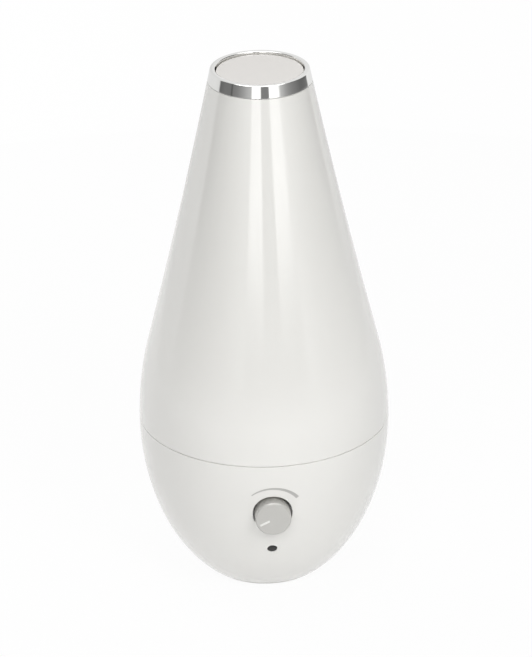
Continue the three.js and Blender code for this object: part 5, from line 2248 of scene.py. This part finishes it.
@dataclass
class Studio:
    """The floor, the light and the camera round the humidifier."""

    sensor: float = 36.0
    focal: float = 197.48
    distance: float = 2.631
    elevation: float = math.radians(25.6)
    azimuth: float = math.radians(-3.55)
    roll: float = math.radians(-0.69)
    aim_right: float = 0.0022
    aim_down: float = 0.00613
    farthest: float = 20.0
    sheet: float = 40.0
    sheet_white: float = 0.86
    sheet_share: float = 0.95  # how much of the sheet glows where it is looked at
    bounce: float = 0.22  # how much of it glows as light
    daylight: float = 0.73  # the surround's strength as light, 1 where it is looked at
    wall_radius: float = 0.85
    wall_height: float = 1.6
    wall_light: float = 0.55  # the wall's strength as light, 1 in a mirror
    pale: float = 0.85  # the wall's level at the floor
    pale_top: float = 0.3  # the height where the wall has its own level
    softbox: float = 1.45
    softbox_fade: Pair = (0.22, 0.35)  # the heights between which the softboxes begin

    def build(self) -> None:
        """Sets the camera and the light up."""
        middle = Vector((0, 0, BODY.height / 2 * MM))
        self.camera(middle)
        self.world()
        self.floor()
        self.tent()
        for lamp in LAMPS:
            lamp.hang(middle)
        bpy.context.scene.view_settings.view_transform = "Standard"

    def camera(self, middle: Vector) -> None:
        """Creates the camera, a little rolled.

        Args:
            middle: The middle of the body, which it looks at.
        """
        data = bpy.data.cameras.new("camera")
        data.sensor_width = self.sensor
        data.lens = self.focal
        data.clip_end = self.farthest
        camera = bpy.data.objects.new("camera", data)
        bpy.context.scene.collection.objects.link(camera)
        back = towards(self.azimuth, self.elevation)
        aim = facing_back(back)
        offset = aim @ Vector((self.aim_right, -self.aim_down, 0))
        turned = aim @ turn(self.roll)
        camera.matrix_world = Matrix.Translation(middle + back * self.distance + offset) @ turned
        bpy.context.scene.camera = camera

    @staticmethod
    def looked_at(graph: Graph, light: float, look: float) -> Socket:
        """Tells rays that look at a surface from rays that it lights.

        Args:
            graph: The graph of the surface.
            light: The value for rays that carry its light.
            look: The value for rays from the camera, a reflection or through glass.

        Returns:
            The value.
        """
        path = graph.add("LightPath").outputs
        both = graph.math("MAXIMUM", path["Is Camera Ray"], path["Is Glossy Ray"])
        seen = graph.math("MAXIMUM", both, path["Is Transmission Ray"])
        return graph.remap(seen, (0.0, 1.0), (light, look))

    def world(self) -> None:
        """Makes a white surround, dimmer as light than it looks."""
        world = bpy.data.worlds.new("surround")
        bpy.context.scene.world = world
        world.use_nodes = True
        graph = Graph(world.node_tree)
        strength = self.looked_at(graph, self.daylight, 1.0)
        light = graph.add("Background", {"Color": WHITE, "Strength": strength})
        graph.add("OutputWorld", {"Surface": light.outputs[0]})

    def floor(self) -> None:
        """Lays a white sheet that keeps a faint shadow."""
        floor = primitive("studio_floor", "plane", size=self.sheet)
        material, graph = new_material("studio_floor")
        white = self.sheet_white
        matt = graph.add("BsdfDiffuse", {"Color": (white, white, white, 1)})
        glow = graph.add("Emission", {"Color": WHITE, "Strength": 1.0})
        share = self.looked_at(graph, self.bounce, self.sheet_share)
        mixed = graph.add("MixShader", {0: share, 1: matt.outputs[0], 2: glow.outputs[0]})
        graph.add("OutputMaterial", {"Surface": mixed.outputs[0]})
        floor.data.materials.append(material)

    def tent(self) -> None:
        """Puts up a round wall that only reflections and matt surfaces see."""
        high = self.wall_height
        shape = {"radius": self.wall_radius, "depth": high, "location": (0, 0, high / 2)}
        tent = primitive("light_tent", "cylinder", vertices=RING, end_fill_type="NOTHING", **shape)
        settle(tent)
        tent.data.materials.append(self.tent_light())
        for ray in ("camera", "shadow", "transmission", "volume_scatter"):
            setattr(tent, f"visible_{ray}", False)

    def tent_light(self) -> Material:
        """Makes the wall's light: softboxes, dark gaps and a pale back.

        Returns:
            The wall's material.
        """
        material, graph = new_material("light_tent")
        where = graph.add("SeparateXYZ", {0: graph.add("TexCoord").outputs["Object"]}).outputs
        angle = graph.math("ARCTAN2", where["X"], graph.product(where["Y"], -1.0))
        turned = graph.math("SUBTRACT", angle, self.azimuth)
        whole_turn = graph.remap(turned, (-math.pi, math.pi), (0.0, 1.0))
        boxes = self.ramp(graph, whole_turn, SOFTBOXES)
        grey = self.ramp(graph, whole_turn, WALL)
        grey = graph.remap(where["Z"], (0.0, self.pale_top), (self.pale, grey), ease=True)
        fade = graph.remap(where["Z"], self.softbox_fade, (0.0, 1.0), ease=True)
        mirrored = graph.add("LightPath").outputs["Is Glossy Ray"]
        lit = graph.product(boxes, mirrored, self.softbox, fade)
        level = graph.remap(mirrored, (0.0, 1.0), (self.wall_light, 1.0))
        total = graph.math("MULTIPLY_ADD", grey, level, lit)
        glow = graph.add("Emission", {"Color": WHITE, "Strength": total})
        graph.add("OutputMaterial", {"Surface": glow.outputs[0]})
        return material

    @staticmethod
    def ramp(graph: Graph, factor: Socket, stops: Sequence[Point]) -> Socket:
        """Grey levels at azimuths in degrees from the camera's.

        Args:
            graph: The material's graph.
            factor: The azimuth, 0 to 1 for the whole turn.
            stops: Pairs of an azimuth and its level.

        Returns:
            The level's socket.
        """
        node = graph.add("ValToRGB", {0: factor})
        elements = node.color_ramp.elements
        while len(elements) < len(stops):
            elements.new(0.5)
        for element, (degrees, level) in zip(elements, stops):
            element.position = (degrees + 180) / 360
            element.color = (level, level, level, 1)
        return node.outputs[0]


# -------- the whole


def main() -> None:
    """Builds each sub-assembly in order, repaints the CAD nodes that stay in view and sets the studio up."""
    logging.basicConfig(level=logging.INFO, format="%(name)s: %(message)s")
    stores = Stores()
    for part in (Bowl, Dial, Underside, Tray, Tank, Outlet, Filler):
        log.info("building %s", part.__name__)
        part(stores).build()
    for finish, nodes in REPAINTED.items():
        stores.repaint(finish, nodes)
    Studio().build()


if __name__ == "__main__":
    main()
